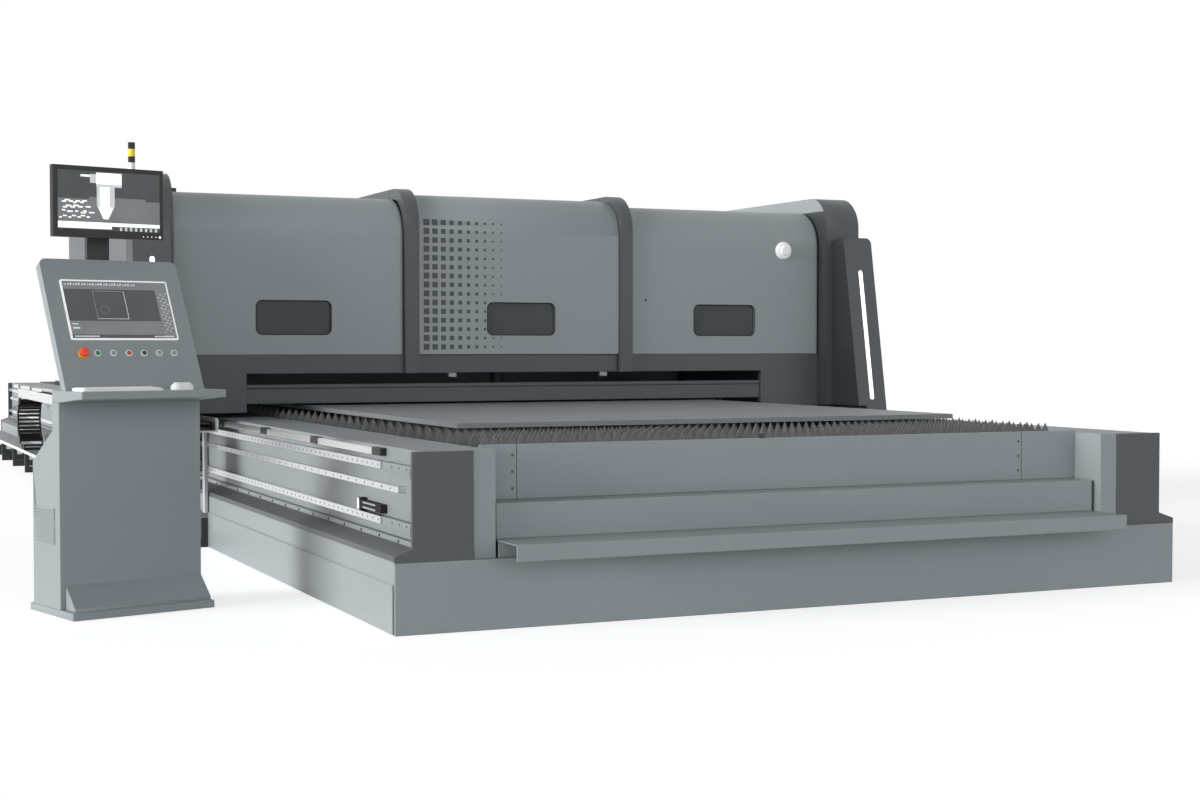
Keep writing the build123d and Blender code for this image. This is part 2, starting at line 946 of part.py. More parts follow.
tower_run = tower_front_high - tower_front_low
tower_rise = tower_top - tower_bottom
tower_slope = hypot(tower_run, tower_rise)
tower_face = Plane(
    origin=(tower_outer - tower_width / 2, tower_front_low, tower_bottom),
    x_dir=(1, 0, 0),
    z_dir=(0, -tower_rise / tower_slope, tower_run / tower_slope),
)
with BuildPart() as light_strips:
    with BuildSketch(tower_face):
        with Locations((0, (middle((light_low, light_high)) - tower_bottom) * tower_slope / tower_rise)):
            SlotOverall(span((light_low, light_high)), light_width, rotation=degrees(pi / 2))
    extrude(amount=light_proud)
    mirror(about=Plane.YZ)
finish(light_strips, "light_strips")

# Stack light on the left cap: a foot and three lens bands between grooves
stack_place = Plane(origin=(-cap_outer + stack_offset, hood_front + stack_set_back, cap_top))
with BuildPart() as stack_light:
    with BuildSketch(stack_place):
        Circle(stack_radius)
    extrude(amount=stack_height)
    with BuildSketch(stack_place):
        Circle(stack_base_radius)
    extrude(amount=stack_base_radius)
    for band_share in stack_band_shares:
        with BuildSketch(stack_place.offset(stack_height * band_share)):
            Circle(stack_radius)
            Circle(stack_radius - stack_groove, mode=Mode.SUBTRACT)
        extrude(amount=stack_groove, mode=Mode.SUBTRACT)
finish(stack_light, "stack_light")

# Round lamp on the right hood panel
lamp_x = hood_half_width - lamp_end_gap
with BuildPart() as round_lamp:
    with BuildSketch(Plane.XZ.offset(-hood_front)):
        with Locations((lamp_x, lamp_height)):
            Circle(lamp_radius)
    extrude(amount=lamp_base)
    chamfer(edges().group_by(Axis.Y)[0], lamp_base / 2)
    with BuildSketch(Plane.XZ.offset(-hood_front + lamp_base)):
        with Locations((lamp_x, lamp_height)):
            Circle(lamp_dome_radius)
    extrude(amount=lamp_dome, taper=degrees(pi / 6))
finish(round_lamp, "round_lamp")

# Gantry beam with the cutting carriage's rails on its front
cross_rail_half_length = carriage_plate_inner - cross_rail_end_gap
with BuildPart() as gantry_beam:
    block(
        (-carriage_plate_inner, carriage_plate_inner),
        (gantry_beam_front, gantry_beam_front + gantry_beam_depth),
        (gantry_beam_bottom, gantry_beam_bottom + gantry_beam_height),
    )
    for cross_rail in (cross_rail_inset, gantry_beam_height - cross_rail_inset - cross_rail_size):
        block(
            (-cross_rail_half_length, cross_rail_half_length),
            (gantry_beam_front - cross_rail_size, gantry_beam_front),
            (gantry_beam_bottom + cross_rail, gantry_beam_bottom + cross_rail + cross_rail_size),
        )
finish(gantry_beam, "gantry_beam")

# End carriages: a box on each end of the beam, with two hangers and a bearing bore for the drive
hanger_starts = (carriage_front, carriage_rear - hanger_length)
chain_arm_bottom = trough_floor + trough_wall + chain_height + chain_arm_clear
with BuildPart() as end_carriages:
    block(
        (carriage_plate_inner, hood_half_width),
        (carriage_front, carriage_rear),
        (carriage_box_bottom, carriage_box_top),
    )
    for hanger_start in hanger_starts:
        block(
            (carriage_plate_inner, carriage_plate_inner + carriage_plate_thickness),
            (hanger_start, hanger_start + hanger_length),
            (hanger_bottom, carriage_box_bottom),
        )
    with BuildSketch(Plane.XY.offset(carriage_box_bottom)):
        with Locations((pinion_x, drive_y)):
            Circle(shaft_radius + shaft_play)
    extrude(amount=shaft_entry, mode=Mode.SUBTRACT)
    mirror(about=Plane.YZ)
    block(
        (-hood_half_width, -hood_half_width + chain_arm_width),
        (carriage_rear - chain_arm_length, carriage_rear),
        (chain_arm_bottom, carriage_box_bottom),
    )
finish(end_carriages, "end_carriages")

rail_levels = (upper_rail_height + rail_height / 2, lower_rail_height + rail_height / 2)
with BuildPart() as guide_blocks:
    for hanger_start in hanger_starts:
        block_y = hanger_start + hanger_length / 2
        for rail_level in rail_levels:
            with Locations((carriage_plate_inner - guide_block_reach / 2, block_y, rail_level)):
                Box(guide_block_reach, guide_block_length, guide_block_height)
    for rail_level in rail_levels:
        block(
            (carriage_plate_inner - guide_block_reach, beam_outer + rail_reach + play),
            (carriage_front, carriage_rear),
            (rail_level - rail_height / 2 - play, rail_level + rail_height / 2 + play),
            mode=Mode.SUBTRACT,
        )
    mirror(about=Plane.YZ)
finish(guide_blocks, "guide_blocks")

with BuildPart() as drive_motors:
    with Locations((middle((carriage_plate_inner, hood_half_width)), drive_y, carriage_box_top)):
        Box(
            motor_flange_size,
            motor_flange_size,
            motor_flange,
            align=(Align.CENTER, Align.CENTER, Align.MIN),
        )
        Box(motor_size, motor_size, motor_height, align=(Align.CENTER, Align.CENTER, Align.MIN))
    mirror(about=Plane.YZ)
finish(drive_motors, "drive_motors")

# Drive pinions: trapezoid teeth on a shaft that hangs in the carriage's bore
pinion_tip = pinion_pitch_radius + pinion_module
pinion_root = pinion_pitch_radius - pinion_module * pinion_dedendum_share
tooth_turn = 2 * pi / pinion_teeth
pinion_outline = []
for tooth in range(pinion_teeth):
    tooth_corners = (
        (pinion_root, -pinion_root_share),
        (pinion_tip, -pinion_tip_share),
        (pinion_tip, pinion_tip_share),
        (pinion_root, pinion_root_share),
    )
    for corner_radius, corner_share in tooth_corners:
        corner_turn = (tooth + corner_share / 2) * tooth_turn
        pinion_outline.append((corner_radius * cos(corner_turn), corner_radius * sin(corner_turn)))
for side, name in ((-1, "left_pinion"), (1, "right_pinion")):
    pinion_place = Plane(origin=(side * pinion_x, drive_y, rack_level))
    gear = prism(pinion_outline, pinion_place, pinion_width)
    with BuildPart() as pinion:
        add(gear)
        with BuildSketch(pinion_place):
            Circle(shaft_radius)
        extrude(amount=carriage_box_bottom + shaft_entry - play - rack_level)
    finish(pinion, name)

# Cutting carriage on the beam's rails, and the head that slides up and down on it
rail_face = gantry_beam_front - cross_rail_size - play
plate_front = rail_face - carriage_plate
with BuildPart() as x_carriage:
    block(
        (-carriage_width / 2, carriage_width / 2),
        (plate_front, rail_face),
        (gantry_beam_bottom - carriage_rise, gantry_beam_bottom + gantry_beam_height + carriage_rise),
    )
    for cross_rail in (cross_rail_inset, gantry_beam_height - cross_rail_inset - cross_rail_size):
        rail_low = gantry_beam_bottom + cross_rail - play
        rail_high = rail_low + cross_rail_size + 2 * play
        for block_start in (-carriage_width / 2, carriage_width / 2 - carriage_block_length):
            block_x = (block_start, block_start + carriage_block_length)
            block_depth = (rail_face, gantry_beam_front - play)
            block(block_x, block_depth, (rail_low - carriage_block_reach, rail_low))
            block(block_x, block_depth, (rail_high, rail_high + carriage_block_reach))
    block(
        (-head_guide_width / 2, head_guide_width / 2),
        (plate_front - cross_rail_size, plate_front),
        (gantry_beam_bottom - carriage_rise, gantry_beam_bottom + gantry_beam_height + carriage_rise),
    )
finish(x_carriage, "x_carriage")

head_rear = plate_front - head_gap
head_middle = head_rear - head_depth / 2
head_axis = Plane(origin=(0, head_middle, 0))
with BuildPart() as cutting_head:
    block((-head_width / 2, head_width / 2), (head_rear - head_depth, head_rear), (head_bottom, head_top))
    block(
        (-head_guide_width / 2 - play, head_guide_width / 2 + play),
        (head_rear - cross_rail_size, head_rear),
        (head_bottom, head_top),
        mode=Mode.SUBTRACT,
    )
    with BuildSketch(head_axis.offset(head_barrel_bottom)):
        Circle(head_barrel_radius)
    extrude(amount=head_bottom - head_barrel_bottom)
    with BuildSketch(head_axis.offset(head_barrel_bottom)):
        Circle(head_barrel_radius)
    with BuildSketch(head_axis.offset(head_cone_bottom)):
        Circle(head_cone_radius)
    loft()
    with BuildSketch(head_axis.offset(head_cone_bottom)):
        Circle(head_cone_radius)
    with BuildSketch(head_axis.offset(nozzle_tip)):
        Circle(nozzle_radius)
    loft()
finish(cutting_head, "cutting_head")

# Console: floor plate with its kick wedge
kick_outline = [
    (cabinet_front, plate_thickness),
    (kick_front, plate_thickness),
    (kick_front, plate_thickness + kick_toe),
    (cabinet_front, kick_height),
]
kick = prism(kick_outline, console_side.offset(kick_left), cabinet_width - kick_left)
with BuildPart() as console_base:
    with BuildSketch(console_floor):
        with Locations((plate_width / 2, plate_depth / 2)):
            Rectangle(plate_width, plate_depth)
    extrude(amount=plate_thickness)
    add(kick)
finish(console_base, "console_base")

# Cabinet with a stepped back and pressed louvers on its left side
cabinet_outline = [
    (cabinet_front, plate_thickness),
    (cabinet_front, cabinet_top),
    (cabinet_neck, cabinet_top),
    (cabinet_neck, cabinet_neck_height),
    (cabinet_rear, cabinet_rear_height),
    (cabinet_rear, plate_thickness),
]
louver_pitch = (louver_high - louver_low) / louver_count
louver_outline = [(0, louver_low), (louver_depth, louver_low), (0, louver_low + louver_pitch * louver_share)]
louver_end = Plane(origin=console_origin + console_v * louver_near, x_dir=console_u * -1, z_dir=console_v)
louver_blade = prism(louver_outline, louver_end, louver_far - louver_near)
with BuildPart() as console_cabinet:
    with BuildSketch(console_side):
        with BuildLine():
            Polyline(*cabinet_outline, close=True)
        make_face()
    extrude(amount=cabinet_width)
    for louver in range(louver_count):
        add(louver_blade.translate((0, 0, louver * louver_pitch)))
finish(console_cabinet, "console_cabinet")

shelf_outline = [
    (shelf_front, shelf_top),
    (cabinet_neck, shelf_top),
    (cabinet_neck, cabinet_top),
    (cabinet_front, cabinet_top),
    (shelf_front + shelf_lip_depth, shelf_top - shelf_lip),
    (shelf_front, shelf_top - shelf_lip),
]
with BuildPart() as console_shelf:
    with BuildSketch(console_side):
        with BuildLine():
            Polyline(*shelf_outline, close=True)
        make_face()
    extrude(amount=shelf_width)
finish(console_shelf, "console_shelf")

# Sloped control panel, cut level where it stands on the shelf
panel_low_end = (shelf_top - panel_low_z - panel_thickness) * panel_slope / panel_rise
panel_high_end = (panel_end_z - panel_low_z) * panel_slope / panel_rise
with BuildPart() as control_panel:
    with BuildSketch(panel_face):
        with Locations((panel_width / 2, middle((panel_low_end, panel_high_end)))):
            Rectangle(panel_width, span((panel_low_end, panel_high_end)))
        fillet(vertices().group_by(Axis.Z)[-1], panel_round)
    extrude(amount=-panel_thickness)
    split(bisect_by=Plane.XY.offset(shelf_top), keep=Keep.TOP)
finish(control_panel, "control_panel")

with BuildPart() as panel_screen:
    with BuildSketch(panel_face):
        low_place = panel_place(panel_width / 2, screen_low_z)
        with Locations((low_place[0], low_place[1] + screen_length / 2)):
            RectangleRounded(screen_width, screen_length, screen_round)
    extrude(amount=screen_proud)
finish(panel_screen, "panel_screen")

# Buttons: bezels on the sloped face and the heads that travel in them
button_places = [
    panel_place(button_first + row * button_pitch, button_row_z) for row in range(button_count)
]
stop_place = panel_place(stop_u, button_row_z)
with BuildPart() as button_bezels:
    with BuildSketch(panel_face):
        with Locations(*button_places):
            Circle(bezel_radius)
            Circle(button_radius + play, mode=Mode.SUBTRACT)
    extrude(amount=bezel_thickness)
    with BuildSketch(panel_face):
        with Locations(stop_place):
            Circle(stop_base_radius)
            Circle(stop_stem_radius + play, mode=Mode.SUBTRACT)
    extrude(amount=stop_base_thickness)
finish(button_bezels, "button_bezels")

for number, place in enumerate(button_places, start=1):
    with BuildPart() as push_button:
        with BuildSketch(panel_face.offset(button_lift)):
            with Locations(place):
                Circle(button_radius)
        extrude(amount=button_thickness)
    finish(push_button, f"push_button_{number}")

stop_head_start = stop_base_thickness + stop_lift
with BuildPart() as e_stop:
    with BuildSketch(panel_face.offset(stop_lift)):
        with Locations(stop_place):
            Circle(stop_stem_radius)
    extrude(amount=stop_head_start - stop_lift)
    with BuildSketch(panel_face.offset(stop_head_start)):
        with Locations(stop_place):
            Circle(stop_head_radius)
    extrude(amount=stop_head_thickness)
    head_top_face = faces().sort_by(lambda face: panel_face.to_local_coords(face.center()).Z)[-1]
    chamfer(head_top_face.edges(), stop_edge)
finish(e_stop, "e_stop")

# Monitor on its bent arm behind the panel
monitor_face = Plane(
    origin=console_origin + console_v * monitor_front_v,
    x_dir=console_u,
    z_dir=console_v * -1,
)
with BuildPart() as monitor:
    with BuildSketch(monitor_face):
        with Locations((monitor_left + monitor_width / 2, monitor_low + monitor_height / 2)):
            Rectangle(monitor_width, monitor_height)
    extrude(amount=-monitor_depth)
    chamfer(edges().filter_by(Axis.Z), monitor_edge)
finish(monitor, "monitor")

monitor_rear_v = monitor_front_v + monitor_depth
arm_outline = [
    (panel_back_v(arm_foot_low), arm_foot_low),
    (panel_back_v(arm_foot_high), arm_foot_high),
    (arm_rear_v - arm_thickness, arm_foot_high),
    (arm_rear_v - arm_thickness, arm_head_low),
    (monitor_rear_v, arm_head_low),
    (monitor_rear_v, arm_head_high),
    (arm_rear_v, arm_head_high),
    (arm_rear_v, arm_foot_low),
]
with BuildPart() as monitor_arm:
    with BuildSketch(console_side.offset(monitor_left + (monitor_width - arm_width) / 2)):
        with BuildLine():
            Polyline(*arm_outline, close=True)
        make_face()
    extrude(amount=arm_width)
finish(monitor_arm, "monitor_arm")

# Keyboard and mouse resting on the shelf
keyboard_outline = [
    (keyboard_front, shelf_top),
    (keyboard_front, shelf_top + keyboard_thickness),
    (keyboard_front + keyboard_depth, shelf_top + keyboard_thickness + keyboard_back_rise),
    (keyboard_front + keyboard_depth, shelf_top),
]
with BuildPart() as keyboard:
    with BuildSketch(console_side.offset(keyboard_left)):
        with BuildLine():
            Polyline(*keyboard_outline, close=True)
        make_face()
    extrude(amount=keyboard_width)
finish(keyboard, "keyboard")

with BuildPart() as mouse:
    with BuildSketch(console_floor.offset(shelf_top)):
        with Locations((mouse_left + mouse_length / 2, mouse_front + mouse_width / 2)):
            SlotOverall(mouse_length, mouse_width)
    extrude(amount=mouse_height)
    chamfer(edges().group_by(Axis.Z)[-1], mouse_height / 2)
finish(mouse, "mouse")
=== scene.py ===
import math

import bmesh
import bpy
from bpy.props import FloatProperty, FloatVectorProperty, IntProperty, PointerProperty
from bpy.types import Operator, Panel, PropertyGroup
from mathutils import Matrix, Vector


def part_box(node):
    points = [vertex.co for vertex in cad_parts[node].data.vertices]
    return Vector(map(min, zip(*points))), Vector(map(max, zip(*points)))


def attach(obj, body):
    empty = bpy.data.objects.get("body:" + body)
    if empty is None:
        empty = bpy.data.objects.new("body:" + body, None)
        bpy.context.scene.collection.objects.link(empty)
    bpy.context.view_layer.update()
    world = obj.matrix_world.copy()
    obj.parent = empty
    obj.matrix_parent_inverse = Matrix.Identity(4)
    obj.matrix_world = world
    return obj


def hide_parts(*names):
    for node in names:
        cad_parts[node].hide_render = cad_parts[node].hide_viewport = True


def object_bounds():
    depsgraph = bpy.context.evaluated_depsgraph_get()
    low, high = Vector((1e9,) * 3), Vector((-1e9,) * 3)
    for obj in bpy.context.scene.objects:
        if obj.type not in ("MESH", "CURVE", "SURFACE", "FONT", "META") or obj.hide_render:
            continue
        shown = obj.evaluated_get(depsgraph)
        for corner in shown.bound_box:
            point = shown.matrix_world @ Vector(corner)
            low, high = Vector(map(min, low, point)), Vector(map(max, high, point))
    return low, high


bl_info = {
    "name": "Gantry laser cutter dressing",
    "version": (1, 0, 0),
    "blender": (4, 5, 0),
    "location": "View3D > Sidebar > Laser cutter",
    "description": "Gives the packed gantry laser cutter its finishes and its fine pieces",
    "category": "Object",
}

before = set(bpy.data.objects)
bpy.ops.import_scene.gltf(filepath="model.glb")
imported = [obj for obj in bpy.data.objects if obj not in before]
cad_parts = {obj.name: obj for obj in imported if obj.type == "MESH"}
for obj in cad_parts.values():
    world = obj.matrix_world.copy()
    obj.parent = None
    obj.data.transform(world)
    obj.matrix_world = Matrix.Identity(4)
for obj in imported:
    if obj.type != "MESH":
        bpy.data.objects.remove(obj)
CAD_LOW, CAD_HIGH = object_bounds()

# The console stands turned beside the bed. Its frame is u across, v to its rear, z up.
CONSOLE_TURN = math.radians(15.2)
FOOT_DEPTH = 0.487
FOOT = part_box("console_base")[0]
CONSOLE = (
    Matrix.Translation((FOOT.x + FOOT_DEPTH * math.sin(CONSOLE_TURN), FOOT.y, 0))
    @ Matrix.Rotation(CONSOLE_TURN, 4, "Z")
)
FACING_FRONT = Matrix.Rotation(math.pi / 2, 4, "X")
FACING_SIDE = {side: Matrix.Rotation(side * math.pi / 2, 4, "Y") for side in (-1, 1)}
# The sloped control panel: the place and height of its lower edge, its rise and its run.
PANEL_FRONT, PANEL_FOOT, PANEL_RISE, PANEL_RUN = 0.110, 1.145, 0.460, 0.225
PANEL = (
    CONSOLE
    @ Matrix.Translation((0, PANEL_FRONT, PANEL_FOOT))
    @ Matrix.Rotation(math.atan2(PANEL_RISE, PANEL_RUN), 4, "X")
)
PANEL_STRETCH = math.hypot(PANEL_RISE, PANEL_RUN) / PANEL_RISE
MONITOR = CONSOLE @ Matrix.Translation((0.051, 0.300, 1.741)) @ FACING_FRONT
DISPLAY_FIELDS = ["Display, dark field", "Display, mid field", "Display, pale field"]


def linear(code, level=1.0):
    """An sRGB hex colour as linear RGBA, with its lightness scaled."""
    values = []
    for start in (0, 2, 4):
        share = int(code[start:start + 2], 16) / 255
        flat = share / 12.92 if share <= 0.04045 else ((share + 0.055) / 1.055) ** 2.4
        values.append(min(1.0, flat * level))
    return (*values, 1.0)


def length_setting(label, text, default):
    """A length that a user may change."""
    return FloatProperty(name=label, description=text, default=default, unit="LENGTH")


def colour_setting(label, text, code):
    """A colour that a user may change."""
    return FloatVectorProperty(
        name=label, description=text, default=linear(code)[:3], subtype="COLOR"
    )


class LaserSizes(PropertyGroup):
    """Sizes of the fine pieces that a user may want to change"""

    slat_rows: IntProperty(name="Slat rows", description="Slats across the bed", default=95)
    tooth_pitch: length_setting("Slat tooth pitch", "Distance between slat tips", 0.044)
    tooth_depth: length_setting("Slat tooth depth", "Height of a slat tooth", 0.043)
    rack_module: length_setting("Rack module", "Tooth size of rack and pinions", 0.003)
    screw_pitch: length_setting("Ledge screw pitch", "Distance between ledge screws", 0.28)
    link_pitch: length_setting("Chain link pitch", "Length of one chain link", 0.074)
    clip_pitch: length_setting("Strip clip pitch", "Distance between cover strip clips", 1.06)
    edge: length_setting("Sheet edge", "Round on folded sheet edges", 0.004)


class LaserColours(PropertyGroup):
    """Paint colours of the machine"""

    body: colour_setting("Body paint", "Main grey", "868e92")
    trim: colour_setting("Trim paint", "Dark grey trim", "474c4f")


def set_inputs(tree, node, inputs):
    """Sets or links input sockets of a node."""
    for key, value in inputs.items():
        if isinstance(value, bpy.types.NodeSocket):
            tree.links.new(value, node.inputs[key])
        else:
            node.inputs[key].default_value = value


def add_node(tree, kind, inputs=None, **settings):
    """Adds a node, sets its options, and sets or links its input sockets."""
    node = tree.nodes.new(kind)
    for name, value in settings.items():
        setattr(node, name, value)
    set_inputs(tree, node, inputs or {})
    return node


def new_material(name):
    """The node tree and the bare shader of a new material."""
    material = bpy.data.materials.new(name)
    material.use_nodes = True
    tree = material.node_tree
    tree.nodes.clear()
    shader = add_node(tree, "ShaderNodeBsdfPrincipled")
    add_node(tree, "ShaderNodeOutputMaterial", {"Surface": shader.outputs[0]})
    return tree, shader


def scaled(colour, level):
    """A linear colour made lighter or darker."""
    return (*(min(1.0, part * level) for part in colour[:3]), 1.0)


# A colour mix takes its factor at input 0 and its colours at 6 and 7. Its result is output 2.
def mottle(tree, place, scale, detail, low, high):
    """Noise over a surface, and two colours mixed by it."""
    noise = add_node(
        tree, "ShaderNodeTexNoise", {"Vector": place, "Scale": scale, "Detail": detail}
    ).outputs[0]
    tone = add_node(tree, "ShaderNodeMix", {0: noise, 6: low, 7: high}, data_type="RGBA")
    return noise, tone.outputs[2]


def powder_coat(name, colour, roughness, masked=None):
    """Polyester powder coat baked on folded steel: even satin colour, slow clouds, fine peel.

    A masked part, nearer to the middle of one axis than a level, gets one colour below a height
    and another above it. On the caps and the plinths the darker of these is painted shade.
    """
    cloud_size, peel_size = 0.9, 0.006
    tree, shader = new_material(name)
    place = add_node(tree, "ShaderNodeTexCoord").outputs["Object"]
    cloud, tone = mottle(
        tree, place, 1 / cloud_size, 4.0, scaled(colour, 0.93), scaled(colour, 1.07)
    )
    peel = add_node(
        tree, "ShaderNodeTexNoise", {"Vector": place, "Scale": 1 / peel_size, "Detail": 2.0}
    )
    gloss = add_node(
        tree,
        "ShaderNodeMapRange",
        {"Value": cloud, "To Min": roughness - 0.05, "To Max": roughness + 0.07},
    )
    skin = add_node(
        tree, "ShaderNodeBump", {"Height": peel.outputs[0], "Strength": 0.12, "Distance": 0.0004}
    )
    if masked:
        axis, level, lower, upper, split = masked
        parts = add_node(tree, "ShaderNodeSeparateXYZ", {0: place}).outputs
        reach = add_node(tree, "ShaderNodeMath", {0: parts[axis]}, operation="ABSOLUTE")
        inside = add_node(
            tree, "ShaderNodeMath", {0: reach.outputs[0], 1: level}, operation="LESS_THAN"
        )
        above = add_node(
            tree, "ShaderNodeMath", {0: parts["Z"], 1: split}, operation="GREATER_THAN"
        )
        second = add_node(
            tree, "ShaderNodeMix", {0: above.outputs[0], 6: lower, 7: upper}, data_type="RGBA"
        )
        tone = add_node(
            tree,
            "ShaderNodeMix",
            {0: inside.outputs[0], 6: tone, 7: second.outputs[2]},
            data_type="RGBA",
        ).outputs[2]
    set_inputs(
        tree,
        shader,
        {"Base Color": tone, "Roughness": gloss.outputs[0], "Normal": skin.outputs[0]},
    )


def ground_steel(name, code, holes=None):
    """Ground rail steel: bright, grinding lines along the bed, dark screw counterbores."""
    line_size, line_stretch = 0.0016, 60.0
    tree, shader = new_material(name)
    place = add_node(tree, "ShaderNodeTexCoord").outputs["Object"]
    along = add_node(
        tree,
        "ShaderNodeMapping",
        {"Vector": place, "Scale": (1 / line_size, 1 / (line_size * line_stretch), 1 / line_size)},
    )
    lines, tone = mottle(tree, along.outputs[0], 1.0, 2.0, linear(code, 0.8), linear(code, 1.15))
    gloss = add_node(tree, "ShaderNodeMapRange", {"Value": lines, "To Min": 0.22, "To Max": 0.4})
    if holes:
        pitch, first, level, level_gap, radius = holes
        parts = add_node(tree, "ShaderNodeSeparateXYZ", {0: place}).outputs
        folds = {}
        for key, axis, start, gap in ((0, "Y", first, pitch), (1, "Z", level, level_gap)):
            run = add_node(
                tree, "ShaderNodeMath", {0: parts[axis], 1: start}, operation="SUBTRACT"
            )
            fold = add_node(
                tree, "ShaderNodeMath", {0: run.outputs[0], 1: gap / 2}, operation="PINGPONG"
            )
            folds[key] = fold.outputs[0]
        flat = add_node(tree, "ShaderNodeCombineXYZ", folds)
        reach = add_node(tree, "ShaderNodeVectorMath", {0: flat.outputs[0]}, operation="LENGTH")
        bore = add_node(
            tree, "ShaderNodeMath", {0: reach.outputs["Value"], 1: radius}, operation="LESS_THAN"
        )
        tone = add_node(
            tree,
            "ShaderNodeMix",
            {0: bore.outputs[0], 6: tone, 7: linear("101112")},
            data_type="RGBA",
        ).outputs[2]
    set_inputs(tree, shader, {"Base Color": tone, "Roughness": gloss.outputs[0], "Metallic": 1.0})


def mill_plate(name, code):
    """Hot-rolled plate: grey mill scale in soft cloudy patches, fine pale specks, small pits."""
    patch_size, speck_size = 0.5, 0.009
    tree, shader = new_material(name)
    place = add_node(tree, "ShaderNodeTexCoord").outputs["Object"]
    patch = add_node(
        tree,
        "ShaderNodeTexNoise",
        {"Vector": place, "Scale": 1 / patch_size, "Detail": 6.0, "Roughness": 0.65},
    )
    speck = add_node(
        tree, "ShaderNodeTexNoise", {"Vector": place, "Scale": 1 / speck_size, "Detail": 3.0}
    ).outputs[0]
    base = add_node(
        tree,
        "ShaderNodeMix",
        {0: patch.outputs[0], 6: linear(code, 0.8), 7: linear(code, 1.2)},
        data_type="RGBA",
    )
    sparse = add_node(
        tree, "ShaderNodeMapRange", {"Value": speck, "From Min": 0.58, "From Max": 0.72}
    )
    tone = add_node(
        tree,
        "ShaderNodeMix",
        {0: sparse.outputs[0], 6: base.outputs[2], 7: linear(code, 1.7)},
        data_type="RGBA",
    ).outputs[2]
    pits = add_node(
        tree, "ShaderNodeBump", {"Height": speck, "Strength": 0.35, "Distance": 0.001}
    ).outputs[0]
    set_inputs(
        tree, shader, {"Base Color": tone, "Metallic": 0.35, "Roughness": 0.55, "Normal": pits}
    )


def scorched_steel(name, code):
    """Mild steel slats: dull grey, darker and browner near the tips, where the beam burns them."""
    patch_size = 0.05
    low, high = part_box("slats")
    tree, shader = new_material(name)
    place = add_node(tree, "ShaderNodeTexCoord").outputs["Object"]
    height = add_node(tree, "ShaderNodeSeparateXYZ", {0: place}).outputs["Z"]
    patches = add_node(
        tree, "ShaderNodeTexNoise", {"Vector": place, "Scale": 1 / patch_size, "Detail": 5.0}
    ).outputs[0]
    burn = add_node(
        tree, "ShaderNodeMapRange", {"Value": height, "From Min": low.z, "From Max": high.z}
    )
    patchy = add_node(
        tree, "ShaderNodeMath", {0: burn.outputs[0], 1: patches}, operation="MULTIPLY"
    )
    tone = add_node(
        tree,
        "ShaderNodeMix",
        {0: patchy.outputs[0], 6: linear(code), 7: linear("4a4542")},
        data_type="RGBA",
    ).outputs[2]
    crust = add_node(
        tree, "ShaderNodeBump", {"Height": patches, "Strength": 0.4, "Distance": 0.002}
    ).outputs[0]
    set_inputs(
        tree, shader, {"Base Color": tone, "Metallic": 0.3, "Roughness": 0.5, "Normal": crust}
    )


def moulded_plastic(name, code, roughness, grain_size=0.003):
    """Moulded ABS: one colour through, a light spark-eroded grain that softens its shine."""
    tree, shader = new_material(name)
    place = add_node(tree, "ShaderNodeTexCoord").outputs["Object"]
    grain, tone = mottle(tree, place, 1 / grain_size, 2.0, linear(code, 0.92), linear(code, 1.08))
    skin = add_node(
        tree, "ShaderNodeBump", {"Height": grain, "Strength": 0.15, "Distance": 0.0003}
    ).outputs[0]
    set_inputs(tree, shader, {"Base Color": tone, "Roughness": roughness, "Normal": skin})


def lit_diffuser(name, code, strength):
    """Opal acrylic over lamps: milky white that glows, with a faint haze."""
    tree, shader = new_material(name)
    place = add_node(tree, "ShaderNodeTexCoord").outputs["Object"]
    tone = mottle(tree, place, 18.0, 1.0, linear(code, 0.94), linear(code))[1]
    set_inputs(tree, shader, {"Base Color": tone, "Roughness": 0.35})
    set_inputs(tree, shader, {"Emission Color": tone, "Emission Strength": strength})


def tinted_glass(name, code):
    """Laser safety pane: smoke-tinted acrylic, glossy, nearly opaque from outside."""
    tree, shader = new_material(name)
    place = add_node(tree, "ShaderNodeTexCoord").outputs["Object"]
    smear, tone = mottle(tree, place, 9.0, 4.0, linear(code, 0.85), linear(code, 1.2))
    gloss = add_node(tree, "ShaderNodeMapRange", {"Value": smear, "To Min": 0.03, "To Max": 0.12})
    set_inputs(tree, shader, {"Base Color": tone, "Roughness": gloss.outputs[0], "IOR": 1.49})
    set_inputs(tree, shader, {"Specular IOR Level": 0.22, "Transmission Weight": 0.35})


def screen_light(name, code, strength):
    """A lit area of a flat display behind clear glass.

    On the white plastic surround the glow is painted light.
    """
    tree, shader = new_material(name)
    place = add_node(tree, "ShaderNodeTexCoord").outputs["Object"]
    tone = mottle(tree, place, 6.0, 2.0, linear(code, 0.8), linear(code, 1.15))[1]
    set_inputs(tree, shader, {"Base Color": tone, "Roughness": 0.15})
    set_inputs(tree, shader, {"Emission Color": tone, "Emission Strength": strength})


def finish_of(name):
    """A finish made earlier."""
    return bpy.data.materials[name]


def paint(verts, finish):
    """Gives the faces round some vertices one of their piece's finishes."""
    for face in {face for vert in verts for face in vert.link_faces}:
        face.material_index = finish


def brick(bm, low, high, matrix=Matrix(), finish=0):
    """Adds a box between two corners of a frame."""
    low, high = Vector(low), Vector(high)
    place = Matrix.Translation((low + high) / 2) @ Matrix.Diagonal((*(high - low), 1))
    verts = bmesh.ops.create_cube(bm, size=1, matrix=matrix @ place)["verts"]
    paint(verts, finish)
    return verts


def disc(bm, centre, radius, depth, matrix=Matrix(), segments=24, far_radius=None, finish=0):
    """Adds a round stud that stands on a point of a frame along its z."""
    verts = bmesh.ops.create_cone(
        bm,
        cap_ends=True,
        segments=segments,
        radius1=radius,
        radius2=radius if far_radius is None else far_radius,
        depth=depth,
        matrix=matrix @ Matrix.Translation(Vector(centre) + Vector((0, 0, depth / 2))),
    )["verts"]
    paint(verts, finish)
    return verts


